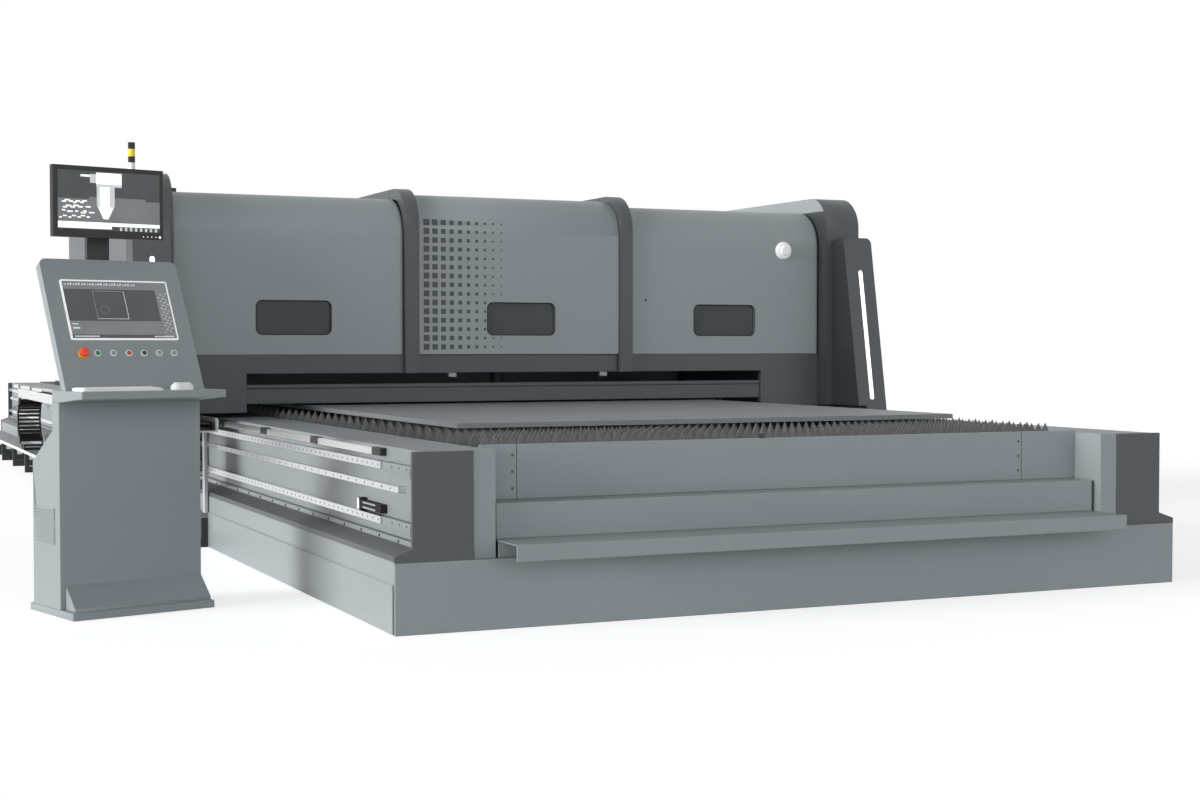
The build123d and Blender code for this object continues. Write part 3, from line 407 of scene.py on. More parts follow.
def of_kind(made, kind):
    """The vertices or the edges among what a bmesh operator made."""
    return [part for part in made["geom"] if isinstance(part, kind)]


def raised_frames(bm, faces, width):
    """Turns flat faces into frames with a second skin, and returns the skin's vertices."""
    rims = bmesh.ops.inset_individual(bm, faces=faces, thickness=width, use_even_offset=True)
    bmesh.ops.delete(bm, geom=faces, context="FACES_ONLY")
    return of_kind(bmesh.ops.extrude_face_region(bm, geom=rims["faces"]), bmesh.types.BMVert)


def flat_ring(bm, place, radius, width, depth, finish=0):
    """Adds a thin washer that lies on a frame."""
    rim = bmesh.ops.create_circle(bm, cap_ends=True, segments=28, radius=radius, matrix=place)
    raised = raised_frames(bm, list(rim["verts"][0].link_faces), width)
    bmesh.ops.translate(bm, verts=raised, vec=(0, 0, depth), space=place.inverted())
    paint(raised, finish)


def soften(bm, width, segments=2, parts=None, affect="EDGES"):
    """Rounds edges or corners of a mesh."""
    bmesh.ops.bevel(
        bm,
        geom=list(bm.edges if parts is None else parts),
        offset=width,
        segments=segments,
        profile=0.5,
        affect=affect,
        material=-1,
    )


def make_piece(bm, name, body, finishes, replaced=()):
    """Turns a bmesh into a piece that rides on a body."""
    bmesh.ops.recalc_face_normals(bm, faces=bm.faces)
    mesh = bpy.data.meshes.new(name)
    bm.to_mesh(mesh)
    bm.free()
    for finish in finishes:
        mesh.materials.append(finish_of(finish))
    piece = bpy.data.objects.new(name, mesh)
    bpy.context.scene.collection.objects.link(piece)
    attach(piece, body)
    if replaced:
        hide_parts(*replaced)
    return piece


def repeat(piece, count, step):
    """Repeats a piece in a row."""
    row = piece.modifiers.new("Row", "ARRAY")
    row.use_relative_offset = False
    row.use_constant_offset = True
    row.constant_offset_displace = step
    row.count = count


def dress_node(name, finish, edge=0.0):
    """Gives a CAD node its finish and, where it is folded sheet, rounded edges."""
    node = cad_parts[name]
    node.data.materials.clear()
    node.data.materials.append(finish_of(finish))
    if edge:
        weld = node.modifiers.new("Weld", "WELD")
        weld.merge_threshold = 0.00001
        bevel = node.modifiers.new("Edges", "BEVEL")
        bevel.width = edge
        bevel.segments = 2
        bevel.limit_method = "ANGLE"
        bevel.angle_limit = math.radians(50)


class LASER_OT_finishes(Operator):
    """Makes the machine's finishes and gives them to the CAD nodes"""

    bl_idname = "laser.finishes"
    bl_label = "Finishes"

    def execute(self, context):
        colours = context.scene.laser_colours
        body, trim = tuple(colours.body), tuple(colours.trim)
        powder_coat("Powder coat, body grey", body, 0.42)
        powder_coat("Powder coat, trim grey", trim, 0.4)
        powder_coat("Powder coat, bed grey", linear("7c8386"), 0.5)
        powder_coat("Powder coat, black", linear("2b2e30"), 0.45)
        powder_coat("Powder coat, pale grey", linear("b4b8ba"), 0.42)
        powder_coat("Powder coat, white", linear("e4e6e8"), 0.42)
        powder_coat("Powder coat, dot grey", linear("3d4245"), 0.45)
        black, dark = linear("2b2e30"), linear("34383a")
        hood_end, tray_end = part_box("hood_shell")[1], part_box("cable_tray")[1]
        # The caps' inner faces beside the hood get painted shade (the colour dark) below the hood's
        # top. Above it they take the body grey.
        cap_shade_mask = ("X", hood_end.x + 0.002, dark, (*body, 1.0), hood_end.z)
        powder_coat("Powder coat, cap with painted shade", trim, 0.4, cap_shade_mask)
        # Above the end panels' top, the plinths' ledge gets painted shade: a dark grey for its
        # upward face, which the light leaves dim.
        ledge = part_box("base_end_panels")[1].z + 0.002
        plinth_ledge_shade_mask = ("X", CAD_HIGH.x, (*body, 1.0), linear("4b4f51"), ledge)
        powder_coat("Powder coat, plinth with painted ledge shade", body, 0.42, plinth_ledge_shade_mask)
        tray_mask = ("Z", tray_end.z - 0.03, black, black, tray_end.z)
        powder_coat("Powder coat, cable tray", linear("7d8183"), 0.45, tray_mask)
        ground_steel("Ground rail steel", "eceef0", (0.0805, -7.117, 0.4525, 0.248, 0.0058))
        ground_steel("Ground rack steel", "eceef0", (0.13, -7.117, 0.606, 2.0, 0.006))
        ground_steel("Polished cover strip", "f8f8f8")
        ground_steel("Machined steel", "b4b7b9")
        mill_plate("Hot-rolled plate", "7d8285")
        scorched_steel("Scorched slat steel", "7c7f81")
        moulded_plastic("Black ABS", "1b1c1d", 0.45)
        moulded_plastic("Grey ABS", "8d9194", 0.4)
        moulded_plastic("White ABS", "e6e8ea", 0.35)
        moulded_plastic("Red stop cap", "f04a2c", 0.3)
        moulded_plastic("Red button cap", "b8452f", 0.25)
        moulded_plastic("Green button cap", "1f7f45", 0.25)
        moulded_plastic("Blue button cap", "2b3846", 0.25)
        moulded_plastic("Yellow collar", "f0a53c", 0.35)
        moulded_plastic("Amber lens", "f2cf3a", 0.15)
        moulded_plastic("Moulded rubber", "17181a", 0.75, 0.006)
        lit_diffuser("Opal light strip", "ffffff", 1.0)
        lit_diffuser("Opal lamp", "e4e7e9", 0.1)
        tinted_glass("Smoked safety pane", "4a4e50")
        screen_light("Display, dark field", "424647", 0.35)
        screen_light("Display, mid field", "6f7375", 0.4)
        screen_light("Display, pale field", "b8bcbe", 0.6)
        screen_light("Display, line", "7e8487", 0.5)
        screen_light("Display, white field", "f4f5f6", 0.8)
        # The panel's white plastic surround gets a weak glow: painted light that makes it read
        # brighter.
        screen_light("White ABS surround, painted glow", "f4f5f6", 0.3)
        edge = context.scene.laser_sizes.edge
        table = (
            ("Powder coat, body grey", edge, "base_end_panels bay_panel bay_step"),
            ("Powder coat, plinth with painted ledge shade", edge, "base_side_plinths"),
            ("Powder coat, body grey", edge, "bay_cheeks console_base console_cabinet"),
            ("Powder coat, body grey", edge, "console_shelf control_panel door_panel loading_tray"),
            ("Powder coat, body grey", 0, "hood_panels hood_shell"),
            ("Powder coat, trim grey", edge, "beam_end_covers lower_bands hood_ribs"),
            ("Powder coat, trim grey", edge, "door_band skirts"),
            ("Powder coat, trim grey", 0, "end_carriages"),
            ("Powder coat, cap with painted shade", edge, "end_caps"),
            ("Powder coat, bed grey", edge, "side_beams slat_holders scrap_plates cross_members"),
            ("Powder coat, bed grey", 0, "gantry_beam x_carriage"),
            ("Powder coat, black", edge, "towers monitor_arm drive_motors"),
            ("Powder coat, cable tray", 0, "cable_tray"),
            ("Powder coat, black", 0, "cutting_head"),
            ("Powder coat, pale grey", 0, "chain_trough"),
            ("Ground rail steel", 0, "guide_rails"),
            ("Ground rack steel", 0, "gear_racks"),
            ("Polished cover strip", 0, "rail_covers"),
            ("Machined steel", 0, "guide_blocks left_pinion right_pinion"),
            ("Hot-rolled plate", 0, "workpiece_sheet"),
            ("Black ABS", 0, "chain_bend monitor"),
            ("Moulded rubber", 0, "travel_bumpers"),
            ("White ABS", 0, "keyboard mouse"),
            ("White ABS surround, painted glow", 0, "panel_screen"),
            ("Red stop cap", 0, "e_stop"),
            ("Red button cap", 0, "push_button_3"),
            ("Green button cap", 0, "push_button_1"),
            ("Blue button cap", 0, "push_button_4"),
            ("Grey ABS", 0, "push_button_2 push_button_5 push_button_6"),
            ("Opal light strip", 0, "light_strips"),
            ("Opal lamp", 0, "round_lamp"),
            ("Smoked safety pane", 0, "side_windows door_window"),
        )
        for finish, width, names in table:
            for name in names.split():
                dress_node(name, finish, width)
        return {"FINISHED"}


class LASER_OT_slat_table(Operator):
    """Builds the toothed slats that carry the plate"""

    bl_idname = "laser.slat_table"
    bl_label = "Slat table"

    def execute(self, context):
        sizes = context.scene.laser_sizes
        low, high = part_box("slats")
        thickness = 0.005
        teeth = round((high.x - low.x) / sizes.tooth_pitch)
        bm = bmesh.new()
        brick(bm, low, (high.x, low.y + thickness, high.z))
        long_edges = [e for e in bm.edges if abs(e.verts[0].co.x - e.verts[1].co.x) > thickness]
        bmesh.ops.subdivide_edges(bm, edges=long_edges, cuts=2 * teeth - 1, use_grid_fill=True)
        step = (high.x - low.x) / (2 * teeth)
        notches = [
            v
            for v in bm.verts
            if v.co.z > (low.z + high.z) / 2 and round((v.co.x - low.x) / step) % 2 == 0
        ]
        bmesh.ops.translate(bm, verts=notches, vec=(0, 0, -sizes.tooth_depth))
        rows = sizes.slat_rows
        slat = make_piece(bm, "slat_rows", "bed", ["Scorched slat steel"], ["slats"])
        repeat(slat, rows, (0, (high.y - low.y - thickness) / (rows - 1), 0))
        return {"FINISHED"}


class LASER_OT_beam_fittings(Operator):
    """Adds rack teeth, ledge screws, strip clips, rail tails and bumper plates along both beams"""

    bl_idname = "laser.beam_fittings"
    bl_label = "Beam fittings"

    def execute(self, context):
        sizes = context.scene.laser_sizes
        corners = [(side, end) for side in (-1, 1) for end in (-1, 1)]
        low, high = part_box("gear_racks")
        pitch = math.pi * sizes.rack_module
        pinion_low, pinion_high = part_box("left_pinion")
        drive_y = (pinion_low.y + pinion_high.y) / 2
        count = int((high.y - low.y) / pitch) - 2
        # A gap between two teeth stands at the pinion's middle.
        first = drive_y - pitch * (math.floor((drive_y - low.y) / pitch) - 0.5)
        root, tip, reach = 0.00345, 0.001, 0.0068
        bm = bmesh.new()
        for side in (-1, 1):
            face = high.x * side
            verts = brick(
                bm, (face, first - root, low.z), (face + side * reach, first + root, high.z)
            )
            tips = [v for v in verts if abs(v.co.x) > high.x + reach / 2]
            bmesh.ops.scale(
                bm, verts=tips, vec=(1, tip / root, 1), space=Matrix.Translation((0, -first, 0))
            )
        teeth = make_piece(bm, "rack_teeth", "bed", ["Ground rack steel"])
        repeat(teeth, count, (0, pitch, 0))

        beam_low, beam_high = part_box("side_beams")
        screw_inset, screw_level = 0.2, 0.380
        bm = bmesh.new()
        for side in (-1, 1):
            spot = (side * beam_high.x, beam_low.y + screw_inset, screw_level)
            at = Matrix.Translation(spot) @ FACING_SIDE[side]
            disc(bm, (0, 0, 0), 0.0075, 0.004, at, 10, 0.006)
        screws = make_piece(bm, "ledge_screws", "bed", ["Powder coat, black"])
        run = beam_high.y - beam_low.y - 2 * screw_inset
        repeat(screws, int(run / sizes.screw_pitch), (0, sizes.screw_pitch, 0))

        strip_low, strip_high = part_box("rail_covers")
        clip_length, clip_depth, clip_skin, clip_rim = 0.13, 0.027, 0.003, 0.004
        bm = bmesh.new()
        for side in (-1, 1):
            outer = strip_high.x * side
            brick(
                bm,
                (outer - side * clip_depth, strip_low.y - clip_rim, strip_low.z),
                (outer + side * clip_skin, strip_low.y + clip_length, strip_high.z + clip_rim),
            )
        soften(bm, 0.0025)
        clips = make_piece(bm, "strip_clips", "bed", ["Black ABS"])
        count = int((strip_high.y - strip_low.y) / sizes.clip_pitch) + 1
        repeat(clips, count, (0, sizes.clip_pitch, 0))

        rail_low, rail_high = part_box("guide_rails")
        rail_height, block = 0.033, 0.02
        face, skin, block_skin = rail_high.x - 0.04, rail_high.x - 0.008, rail_high.x - 0.004
        stop = beam_high.y - 0.022
        bm = bmesh.new()
        for side, end in corners:
            start = end * (rail_high.y + 0.004)
            for level in (rail_low.z, rail_high.z - rail_height):
                brick(
                    bm,
                    (side * face, start, level),
                    (side * skin, end * stop, level + rail_height),
                )
                for share in (0.35, 0.6, 0.85):
                    y = start + share * (end * stop - start)
                    at = Matrix.Translation((side * skin, y, level + rail_height / 2))
                    disc(bm, (0, 0, 0), 0.0055, 0.0012, at @ FACING_SIDE[side], 10, finish=1)
                brick(
                    bm,
                    (side * face, end * stop, level - block),
                    (side * block_skin, end * (stop + block), level + rail_height * 0.7),
                    finish=1,
                )
        make_piece(bm, "rail_tails", "bed", ["Powder coat, bed grey", "Black ABS"])

        low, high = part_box("travel_bumpers")
        bumper_length, pad_depth, pad_length, pad_skin = 0.36, 0.026, 0.026, 0.0015
        line_start, line_end, line_height, line_skin = 0.085, bumper_length - 0.08, 0.008, 0.0012
        bm = bmesh.new()
        for side, end in corners:
            inner = end * (high.y - bumper_length)
            brick(
                bm,
                (side * (high.x - pad_depth), inner - end * 0.003, low.z + 0.002),
                (side * (high.x + pad_skin), inner + end * pad_length, high.z - 0.002),
            )
        soften(bm, 0.001)
        for side, end in corners:
            inner = end * (high.y - bumper_length)
            for share in (0.22, 0.62):
                level = low.z + share * (high.z - low.z)
                brick(
                    bm,
                    (side * high.x, inner + end * line_start, level),
                    (side * (high.x + line_skin), inner + end * line_end, level + line_height),
                    finish=1,
                )
        make_piece(bm, "bumper_pads", "bed", ["White ABS", "Grey ABS"])
        return {"FINISHED"}


class LASER_OT_front_bay(Operator):
    """Adds the seams, bolts and knob of the front bay"""

    bl_idname = "laser.front_bay"
    bl_label = "Front bay"

    def execute(self, context):
        panel_low, panel_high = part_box("bay_panel")
        front, top, bottom = panel_low.y, panel_high.z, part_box("bay_step")[1].z
        seam_half, bolt_shift, knob_x, knob_neck = 0.0015, 0.02, -0.214, 0.010
        bm = bmesh.new()
        for x in (-1.479, 1.315):
            brick(bm, (x - seam_half, front - 0.0006, bottom), (x + seam_half, front + 0.001, top))
            for share in (0.2, 0.5, 0.8):
                spot = (x - bolt_shift, front, bottom + share * (top - bottom))
                at = Matrix.Translation(spot) @ FACING_FRONT
                disc(bm, (0, 0, 0), 0.007, 0.004, at, 12, 0.0055, 1)
        knob = Matrix.Translation((knob_x, front + 0.006, top))
        disc(bm, (0, 0, 0), 0.012, knob_neck, knob, 16)
        disc(bm, (0, 0, knob_neck), 0.020, 0.014, knob, 16, 0.017)
        finishes = ["Powder coat, black", "Powder coat, trim grey"]
        make_piece(bm, "bay_seams", "bed", finishes)
        return {"FINISHED"}


class LASER_OT_cable_side(Operator):
    """Builds the energy chain's links and the bright edge of its tray"""

    bl_idname = "laser.cable_side"
    bl_label = "Cable side"

    def execute(self, context):
        sizes = context.scene.laser_sizes
        low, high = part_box("chain_runs")
        height, plate, bar = 0.05, 0.012, 0.016
        pitch = sizes.link_pitch
        bend_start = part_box("chain_bend")[0].y
        foot_length = 0.33
        runs = (
            ("chain_links", (low.x + 0.014, low.y, high.z - height), high.x, high.y - low.y),
            ("chain_foot", (low.x, bend_start - foot_length, low.z), high.x - 0.010, foot_length),
        )
        for name, start, far, length in runs:
            bm = bmesh.new()
            for link, inset in ((0, 0.0), (1, plate * 0.6)):
                y = start[1] + link * pitch
                for x in (start[0] + inset, far - plate - inset):
                    end = (x + plate, y + pitch * 1.1, start[2] + height)
                    brick(bm, (x, y + 0.002, start[2]), end)
                for rise in (0.004, height - 0.014):
                    brick(
                        bm,
                        (start[0] + plate, y + pitch / 2 - bar / 2, start[2] + rise),
                        (far - plate, y + pitch / 2 + bar / 2, start[2] + rise + 0.01),
                    )
            links = make_piece(bm, name, "bed", ["Black ABS"], ["chain_runs"])
            repeat(links, int(length / (2 * pitch)), (0, 2 * pitch, 0))

        tray_low, tray_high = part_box("cable_tray")
        bm = bmesh.new()
        brick(
            bm,
            (tray_low.x - 0.0012, tray_low.y, tray_high.z - 0.024),
            (tray_low.x + 0.004, tray_high.y, tray_high.z + 0.003),
        )
        soften(bm, 0.0008, 1)
        low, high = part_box("chain_trough")
        for x in (low.x, high.x - 0.010):
            brick(bm, (x, low.y, high.z), (x + 0.004, high.y, high.z + 0.003))
        make_piece(bm, "tray_lip", "bed", ["Powder coat, white"])
        return {"FINISHED"}


class LASER_OT_console_face(Operator):
    """Builds the console's display, button rings and stop collar"""

    bl_idname = "laser.console_face"
    bl_label = "Console face"

    def execute(self, context):
        screen_foot, screen_height, button_level = 1.262, 0.310, 1.200
        rim, proud = 0.008, 0.006
        left, right = 0.0755 + rim, 0.6065 - rim
        low = (screen_foot - PANEL_FOOT) * PANEL_STRETCH + rim
        wide, tall = right - left, screen_height - 2 * rim
        skin = proud + 0.001
        bm = bmesh.new()
        brick(bm, (left, low, proud - 0.001), (right, low + tall, skin), PANEL)
        # Finish, then left, lower, right and upper edge as shares of the lit field.
        fields = [
            (1, (0.0, 0.86, 1.0, 1.0)),
            (1, (0.0, 0.06, 0.88, 0.30)),
            (1, (0.88, 0.0, 1.0, 0.86)),
            (3, (0.27, 0.335, 0.274, 0.83)),
            (2, (0.566, 0.335, 0.571, 0.83)),
            (2, (0.27, 0.335, 0.571, 0.343)),
            (3, (0.27, 0.822, 0.571, 0.83)),
            (2, (0.02, 0.235, 0.075, 0.255)),
            (2, (0.02, 0.16, 0.085, 0.19)),
            (2, (0.02, 0.02, 0.25, 0.04)),
            (2, (0.78, 0.02, 0.97, 0.04)),
        ]
        for number in range(26):
            u = 0.02 + number * 0.0262 + 0.006 * ((number * 0.618) % 1.0)
            tall_mark = 0.02 + 0.025 * ((number * 0.382) % 1.0)
            fields.append((2, (u, 0.93, u + 0.014, 0.93 + tall_mark)))
        for number in range(30):
            u = 0.895 + 0.08 * ((number * 0.618) % 1.0)
            s = 0.10 + 0.70 * number / 29
            fields.append((2, (u, s, u + 0.012 + 0.012 * ((number * 0.271) % 1.0), s + 0.013)))
        for index, (u0, s0, u1, s1) in fields:
            brick(
                bm,
                (left + u0 * wide, low + s0 * tall, skin - 0.0005),
                (left + u1 * wide, low + s1 * tall, skin + 0.0002 + 0.0001 * index),
                PANEL,
                index,
            )
        spot = (left + 0.355 * wide, low + 0.50 * tall, skin)
        flat_ring(bm, PANEL @ Matrix.Translation(spot), 0.021, 0.0012, 0.0004, 3)
        finishes = [*DISPLAY_FIELDS, "Display, line"]
        make_piece(bm, "panel_display", "bed", finishes)

        row = (button_level - PANEL_FOOT) * PANEL_STRETCH
        stop_u, button_u, button_pitch = 0.118, 0.186, 0.076
        bm = bmesh.new()
        for number in range(6):
            centre = PANEL @ Matrix.Translation((button_u + number * button_pitch, row, 0))
            ring = bmesh.ops.create_circle(bm, segments=28, radius=0.016, matrix=centre)["verts"]
            edges = list({e for v in ring for e in v.link_edges})
            # The ring's wall, its lip inward and its throat back down.
            for share, lift in ((1.0, 0.009), (0.71, 0.0), (1.0, -0.0085)):
                made = bmesh.ops.extrude_edge_only(bm, edges=edges)
                verts = of_kind(made, bmesh.types.BMVert)
                edges = of_kind(made, bmesh.types.BMEdge)
                space = centre.inverted()
                bmesh.ops.scale(bm, verts=verts, vec=(share, share, 1), space=space)
                bmesh.ops.translate(bm, verts=verts, vec=(0, 0, lift), space=space)
        make_piece(bm, "button_rings", "bed", ["White ABS"], ["button_bezels"])

        bm = bmesh.new()
        disc(bm, (stop_u, row, 0), 0.025, 0.008, PANEL, 36, 0.0235)
        make_piece(bm, "stop_collar", "bed", ["Yellow collar"], ["button_bezels"])
        return {"FINISHED"}


class LASER_OT_console_desk(Operator):
    """Builds the monitor's picture and the keyboard's keys"""

    bl_idname = "laser.console_desk"
    bl_label = "Console desk"

    def execute(self, context):
        width, height, rim, chin = 0.549, 0.331, 0.022, 0.014
        foot = rim + chin
        wide, tall = width - 2 * rim, height - rim - foot
        bm = bmesh.new()
        brick(bm, (rim, foot, -0.001), (width - rim, height - rim, 0.0006), MONITOR)
        # Finish, then the lower left and the upper right corner as shares of the lit field.
        shapes = [
            (1, (0.0, 0.13), (1.0, 0.52)),
            (1, (0.30, 0.52), (0.86, 0.56)),
            (3, (0.0, 0.07), (1.0, 0.13)),
            (3, (0.0, 0.02), (0.52, 0.07)),
            (3, (0.37, 0.74), (0.62, 0.98)),
            (2, (0.37, 0.74), (0.62, 0.785)),
            (2, (0.31, 0.80), (0.37, 0.95)),
            (3, (0.22, 0.90), (0.31, 0.935)),
            (2, (0.375, 0.40), (0.405, 0.74)),
            (3, (0.405, 0.40), (0.50, 0.74)),
            (2, (0.50, 0.40), (0.55, 0.74)),
        ]
        for number in range(8):
            u = 0.60 + number * 0.05
            shapes.append((2, (u, 0.0), (u + 0.022, 0.058)))
        for number in range(26):
            s = 0.15 + 0.34 * ((number * 0.7549 + 0.1) % 1.0)
            u = (0.01 + 0.30 * ((number * 0.5698) % 1.0)) * (1.25 - s)
            shapes.append((3, (u, s), (u + 0.025 + 0.03 * ((number * 0.271) % 1.0), s + 0.022)))
        for number, (index, start, end) in enumerate(shapes):
            brick(
                bm,
                (rim + start[0] * wide, foot + start[1] * tall, 0.0002),
                (rim + end[0] * wide, foot + end[1] * tall, 0.0008 + 0.00002 * number),
                MONITOR,
                index,
            )
        nozzle = brick(
            bm,
            (rim + 0.385 * wide, foot + 0.19 * tall, 0.0002),
            (rim + 0.54 * wide, foot + 0.395 * tall, 0.0018),
            MONITOR,
            3,
        )
        middle = MONITOR @ Matrix.Translation((rim + 0.4625 * wide, foot + 0.19 * tall, 0))
        tip = [v for v in nozzle if (middle.inverted() @ v.co).y < 0.01]
        bmesh.ops.scale(bm, verts=tip, vec=(0.3, 1, 1), space=middle.inverted())
        keys = 5
        for number in range(keys):
            at = MONITOR @ Matrix.Translation((width - 0.105 + number * 0.021, 0.013, 0))
            radius = 0.006 if number == keys - 1 else 0.0026
            disc(bm, (0, 0, 0), radius, 0.0008, at, 16, finish=3)
        finishes = [*DISPLAY_FIELDS, "Display, white field"]
        make_piece(bm, "monitor_picture", "bed", finishes)

        columns, rows, key_width, key_depth = 15, 5, 0.0225, 0.0205
        board_top, board_slope = 1.042, 0.04
        bm = bmesh.new()
        for column in range(columns):
            for line in range(rows):
                u, v = 0.029 + column * 0.0244, -0.0865 + line * 0.0232
                rise = board_top + (v + 0.092) * board_slope
                end = (u + key_width, v + key_depth, rise + 0.004)
                brick(bm, (u, v, rise - 0.001), end, CONSOLE)
        soften(bm, 0.0012, 1)
        make_piece(bm, "keyboard_keys", "bed", ["White ABS"])
        return {"FINISHED"}


class LASER_OT_hood_fittings(Operator):
    """Adds window gaskets, the door's dotted motif, the hood's bolts and the latch plates"""

    bl_idname = "laser.hood_fittings"
    bl_label = "Hood fittings"

    def execute(self, context):
        gasket, depth, corner = 0.006, 0.002, 0.042
        pane_low, pane_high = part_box("door_window")
        wide = pane_high.x - pane_low.x
        low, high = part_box("side_windows")
        gaskets = (
            ("door_gasket", "door", "door_panel", (pane_low.x,), pane_low.z, pane_high.z),
            ("side_gaskets", "gantry", "hood_panels", (low.x, high.x - wide), low.z, high.z),
        )
        for name, body, sheet, starts, bottom, top in gaskets:
            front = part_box(sheet)[0].y
            bm = bmesh.new()
            for start in starts:
                middle = (start + wide / 2, front, (bottom + top) / 2)
                size = Matrix.Diagonal((wide + gasket, top - bottom + gasket, 1, 1))
                place = Matrix.Translation(middle) @ FACING_FRONT @ size
                pane = bmesh.ops.create_grid(bm, x_segments=1, y_segments=1, size=0.5, matrix=place)
                soften(bm, corner, 8, pane["verts"], "VERTICES")
            raised = raised_frames(bm, list(bm.faces), gasket)
            bmesh.ops.translate(bm, verts=raised, vec=(0, -depth, 0))
            make_piece(bm, name, body, ["Moulded rubber"])

        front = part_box("door_panel")[0].y
        columns, lines, pitch, dot_x, dot_z = 10, 15, 0.058, -0.665, 1.228
        bm = bmesh.new()
        for column in range(columns):
            size = 0.020 - 0.0017 * column
            x = dot_x + column * pitch
            for line in range(lines):
                z = dot_z + line * pitch
                brick(bm, (x - size, front - 0.0008, z - size), (x + size, front + 0.001, z + size))
        make_piece(bm, "door_dots", "door", ["Powder coat, dot grey"])

        rib_low, rib_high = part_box("hood_ribs")
        bm = bmesh.new()
        spot = (0.927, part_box("hood_panels")[0].y, 1.548)
        disc(bm, (0, 0, 0), 0.009, 0.004, Matrix.Translation(spot) @ FACING_FRONT, 16, 0.007)
        for side in (-1, 1):
            for shift in (0.56, 1.04, 1.52, 2.0):
                spot = (side * (rib_high.x - 0.047), rib_low.y + shift, rib_high.z)
                disc(bm, spot, 0.011, 0.008, segments=6)
        shell_low, shell_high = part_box("hood_shell")
        block = Vector((shell_low.x + 0.06, shell_low.y + 0.02, shell_high.z))
        brick(bm, block, block + Vector((0.05, 0.05, 0.035)))
        make_piece(bm, "hood_bolts", "gantry", ["Powder coat, black"])

        latch_half, latch_bottom, latch_top = 0.026, 1.031, 1.055
        bm = bmesh.new()
        for x in (-0.479, 0.611):
            brick(
                bm,
                (x - latch_half, front + 0.018, latch_bottom),
                (x + latch_half, front + 0.0195, latch_top),
            )
        soften(bm, 0.0006, 1)
        make_piece(bm, "latch_plates", "door", ["Grey ABS"])
        return {"FINISHED"}


class LASER_OT_gantry_ends(Operator):
    """Builds the towers' front plates, the stack light and the curtain under the right cap"""

    bl_idname = "laser.gantry_ends"
    bl_label = "Gantry ends"

    def execute(self, context):
        tower_low, tower_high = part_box("towers")
        width, setback, rise = 0.225, 0.276, tower_high.z - tower_low.z
        notch_width, notch_top, skin = 0.062, 0.815, 0.003
        half = width / 2
        lean, slope = math.atan2(setback, rise), math.hypot(setback, rise)
        step = (notch_top - tower_low.z) / math.cos(lean)
        bm = bmesh.new()
        for side in (-1, 1):
            place = (
                Matrix.Translation((side * (tower_high.x - half), tower_low.y, tower_low.z))
                @ Matrix.Rotation(math.pi / 2 - lean, 4, "X")
            )
            # The lower part leaves room for the chain's trough on its inner side.
            near, far = sorted((side * half, side * (notch_width - half)))
            brick(bm, (near, 0, 0), (far, step, skin), place)
            verts = brick(bm, (-half, step, 0), (half, slope, skin), place)
            corners = [
                e
                for e in {e for v in verts for e in v.link_edges}
                if min(v.co.z for v in e.verts) > tower_high.z - 0.05
                and (e.verts[0].co - e.verts[1].co).length < 0.01
            ]
            soften(bm, 0.04, 6, corners)
        make_piece(bm, "tower_fronts", "gantry", ["Powder coat, trim grey"])

        low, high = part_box("stack_light")
        middle = (low + high) / 2
        bm = bmesh.new()
        bands = (
            (0, 0.000, 0.026, 0.0258),
            (0, 0.026, 0.082, 0.0215),
            (1, 0.082, 0.120, 0.0218),
            (2, 0.120, 0.166, 0.0215),
            (1, 0.166, 0.208, 0.0218),
        )
        for index, start, end, radius in bands:
            spot = (middle.x, middle.y, low.z + start)
            disc(bm, spot, radius, end - start, segments=28, finish=index)
        lenses = ["White ABS", "Black ABS", "Amber lens"]
        make_piece(bm, "stack_bands", "gantry", lenses, ["stack_light"])

        cap_low, hood_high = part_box("end_caps")[0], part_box("hood_shell")[1]
        band_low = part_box("lower_bands")[0]
        bm = bmesh.new()
        brick(
            bm,
            (hood_high.x, cap_low.y + 0.004, band_low.z),
            (tower_high.x - 0.06, band_low.y + 0.02, cap_low.z),
        )
        brick(
            bm,
            (hood_high.x - 0.014, band_low.y + 0.04, band_low.z),
            (hood_high.x - 0.004, hood_high.y, cap_low.z + 0.02),
        )
        make_piece(bm, "end_curtain", "gantry", ["Moulded rubber"])
        return {"FINISHED"}


def direct_rays(tree):
    """One for a ray that shows the background: to the eye, in a reflection or through glass."""
    path = add_node(tree, "ShaderNodeLightPath")
    seen = add_node(
        tree,
        "ShaderNodeMath",
        {0: path.outputs["Is Camera Ray"], 1: path.outputs["Is Glossy Ray"]},
        operation="MAXIMUM",
    )
    clear = add_node(
        tree,
        "ShaderNodeMath",
        {0: seen.outputs[0], 1: path.outputs["Is Transmission Ray"]},
        operation="MAXIMUM",
    )
    return clear.outputs[0]


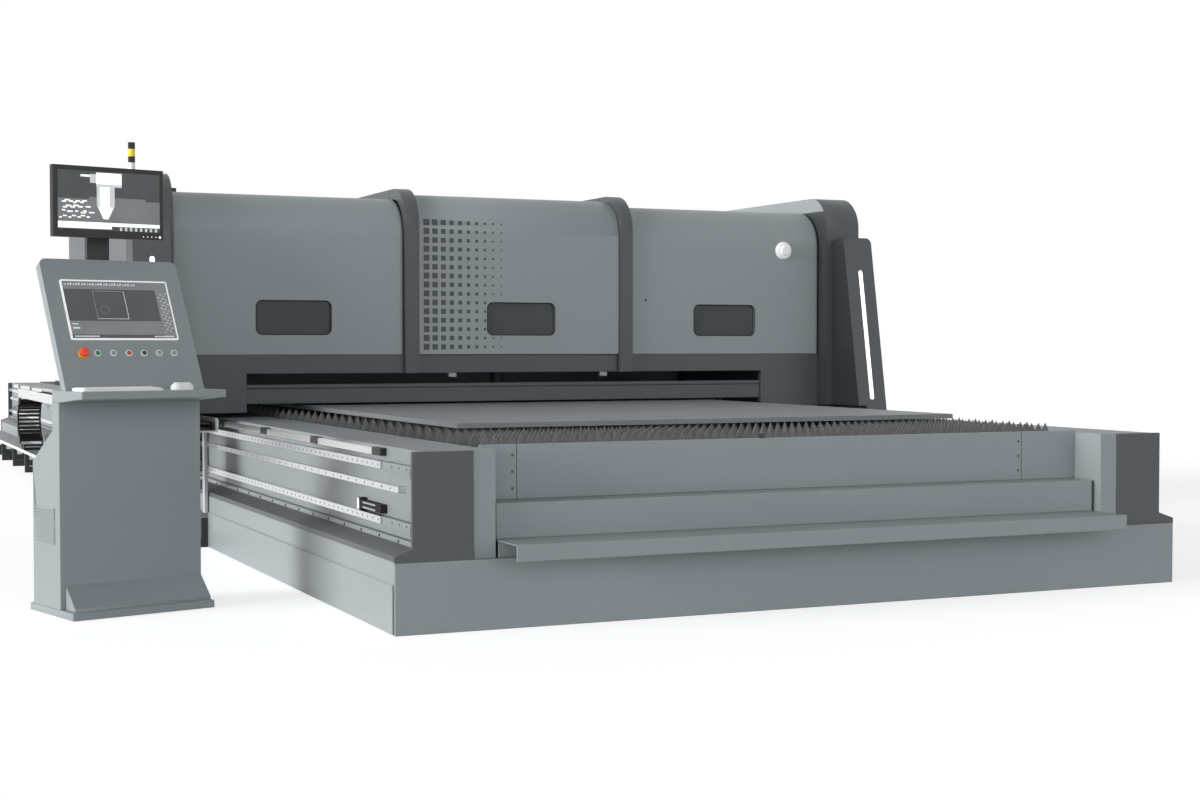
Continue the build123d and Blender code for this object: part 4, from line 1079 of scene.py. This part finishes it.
class LASER_OT_stage(Operator):
    """Sets the floor, the light and the camera"""

    bl_idname = "laser.stage"
    bl_label = "Stage"

    def execute(self, context):
        scene = context.scene
        scene.view_settings.view_transform = "Standard"
        # Matt pale floor paint, lifted to white where it is seen.
        tree, shader = new_material("Studio floor")
        lift = add_node(
            tree, "ShaderNodeMath", {0: direct_rays(tree), 1: 0.66}, operation="MULTIPLY"
        )
        set_inputs(
            tree,
            shader,
            {
                "Base Color": linear("c8cacc"),
                "Roughness": 0.9,
                "Specular IOR Level": 0.1,
                "Emission Color": (1, 1, 1, 1),
                "Emission Strength": lift.outputs[0],
            },
        )
        bm = bmesh.new()
        bmesh.ops.create_grid(bm, x_segments=1, y_segments=1, size=120)
        mesh = bpy.data.meshes.new("studio_floor")
        bm.to_mesh(mesh)
        bm.free()
        mesh.materials.append(finish_of("Studio floor"))
        floor = bpy.data.objects.new("studio_floor", mesh)
        floor.location.z = -0.0005
        scene.collection.objects.link(floor)

        world = bpy.data.worlds.new("Studio")
        world.use_nodes = True
        tree = world.node_tree
        tree.nodes.clear()
        toward = add_node(tree, "ShaderNodeTexCoord").outputs["Generated"]
        height = add_node(tree, "ShaderNodeSeparateXYZ", {0: toward}).outputs["Z"]
        dome = add_node(
            tree,
            "ShaderNodeMapRange",
            {"Value": height, "From Max": 0.8, "To Min": 0.85, "To Max": 0.12},
        )
        level = add_node(
            tree,
            "ShaderNodeMapRange",
            {"Value": direct_rays(tree), "To Min": dome.outputs[0], "To Max": 1.0},
        )
        sky = add_node(
            tree, "ShaderNodeBackground", {"Color": (1, 1, 1, 1), "Strength": level.outputs[0]}
        )
        add_node(tree, "ShaderNodeOutputWorld", {"Surface": sky.outputs[0]})
        scene.world = world

        lamps = (
            ("key", 6.2, 36, (1.0, 0.97, 0.935), (0.99, 0.02, -0.09)),
            ("fill", 1.6, 60, (1.0, 1.0, 1.0), (0.10, 0.99, -0.04)),
        )
        for name, energy, spread, tint, aim in lamps:
            sun = bpy.data.lights.new(name, "SUN")
            sun.energy = energy
            sun.angle = math.radians(spread)
            sun.color = tint
            lamp = bpy.data.objects.new(name, sun)
            lamp.rotation_euler = Vector(aim).to_track_quat("-Z", "Y").to_euler()
            lamp.visible_glossy = False
            scene.collection.objects.link(lamp)

        eye = bpy.data.cameras.new("photo_camera")
        eye.lens = 53.614
        eye.sensor_width = 36.0
        eye.clip_end = 400.0
        camera = bpy.data.objects.new("photo_camera", eye)
        camera.location = (-4.458, -14.947, 1.24)
        camera.rotation_euler = (math.radians(90 - 1.763), 0, math.radians(-24.425))
        scene.collection.objects.link(camera)
        scene.camera = camera
        return {"FINISHED"}


PIECES = (
    LASER_OT_finishes,
    LASER_OT_slat_table,
    LASER_OT_beam_fittings,
    LASER_OT_front_bay,
    LASER_OT_cable_side,
    LASER_OT_console_face,
    LASER_OT_console_desk,
    LASER_OT_hood_fittings,
    LASER_OT_gantry_ends,
    LASER_OT_stage,
)


class LASER_PT_sidebar(Panel):
    """Lists the machine's sizes, colours and pieces"""

    bl_idname = "LASER_PT_sidebar"
    bl_label = "Laser cutter"
    bl_space_type = "VIEW_3D"
    bl_region_type = "UI"
    bl_category = "Laser cutter"

    def draw(self, context):
        for group in (context.scene.laser_sizes, context.scene.laser_colours):
            for name in group.__annotations__:
                self.layout.prop(group, name)
        for piece in PIECES:
            self.layout.operator(piece.bl_idname)


CLASSES = (LaserSizes, LaserColours, *PIECES, LASER_PT_sidebar)


def register():
    for item in CLASSES:
        bpy.utils.register_class(item)
    bpy.types.Scene.laser_sizes = PointerProperty(type=LaserSizes)
    bpy.types.Scene.laser_colours = PointerProperty(type=LaserColours)


def unregister():
    del bpy.types.Scene.laser_colours
    del bpy.types.Scene.laser_sizes
    for item in reversed(CLASSES):
        bpy.utils.unregister_class(item)


def main():
    register()
    for piece in PIECES:
        group, name = piece.bl_idname.split(".")
        getattr(getattr(bpy.ops, group), name)()


if __name__ == "__main__":
    main()
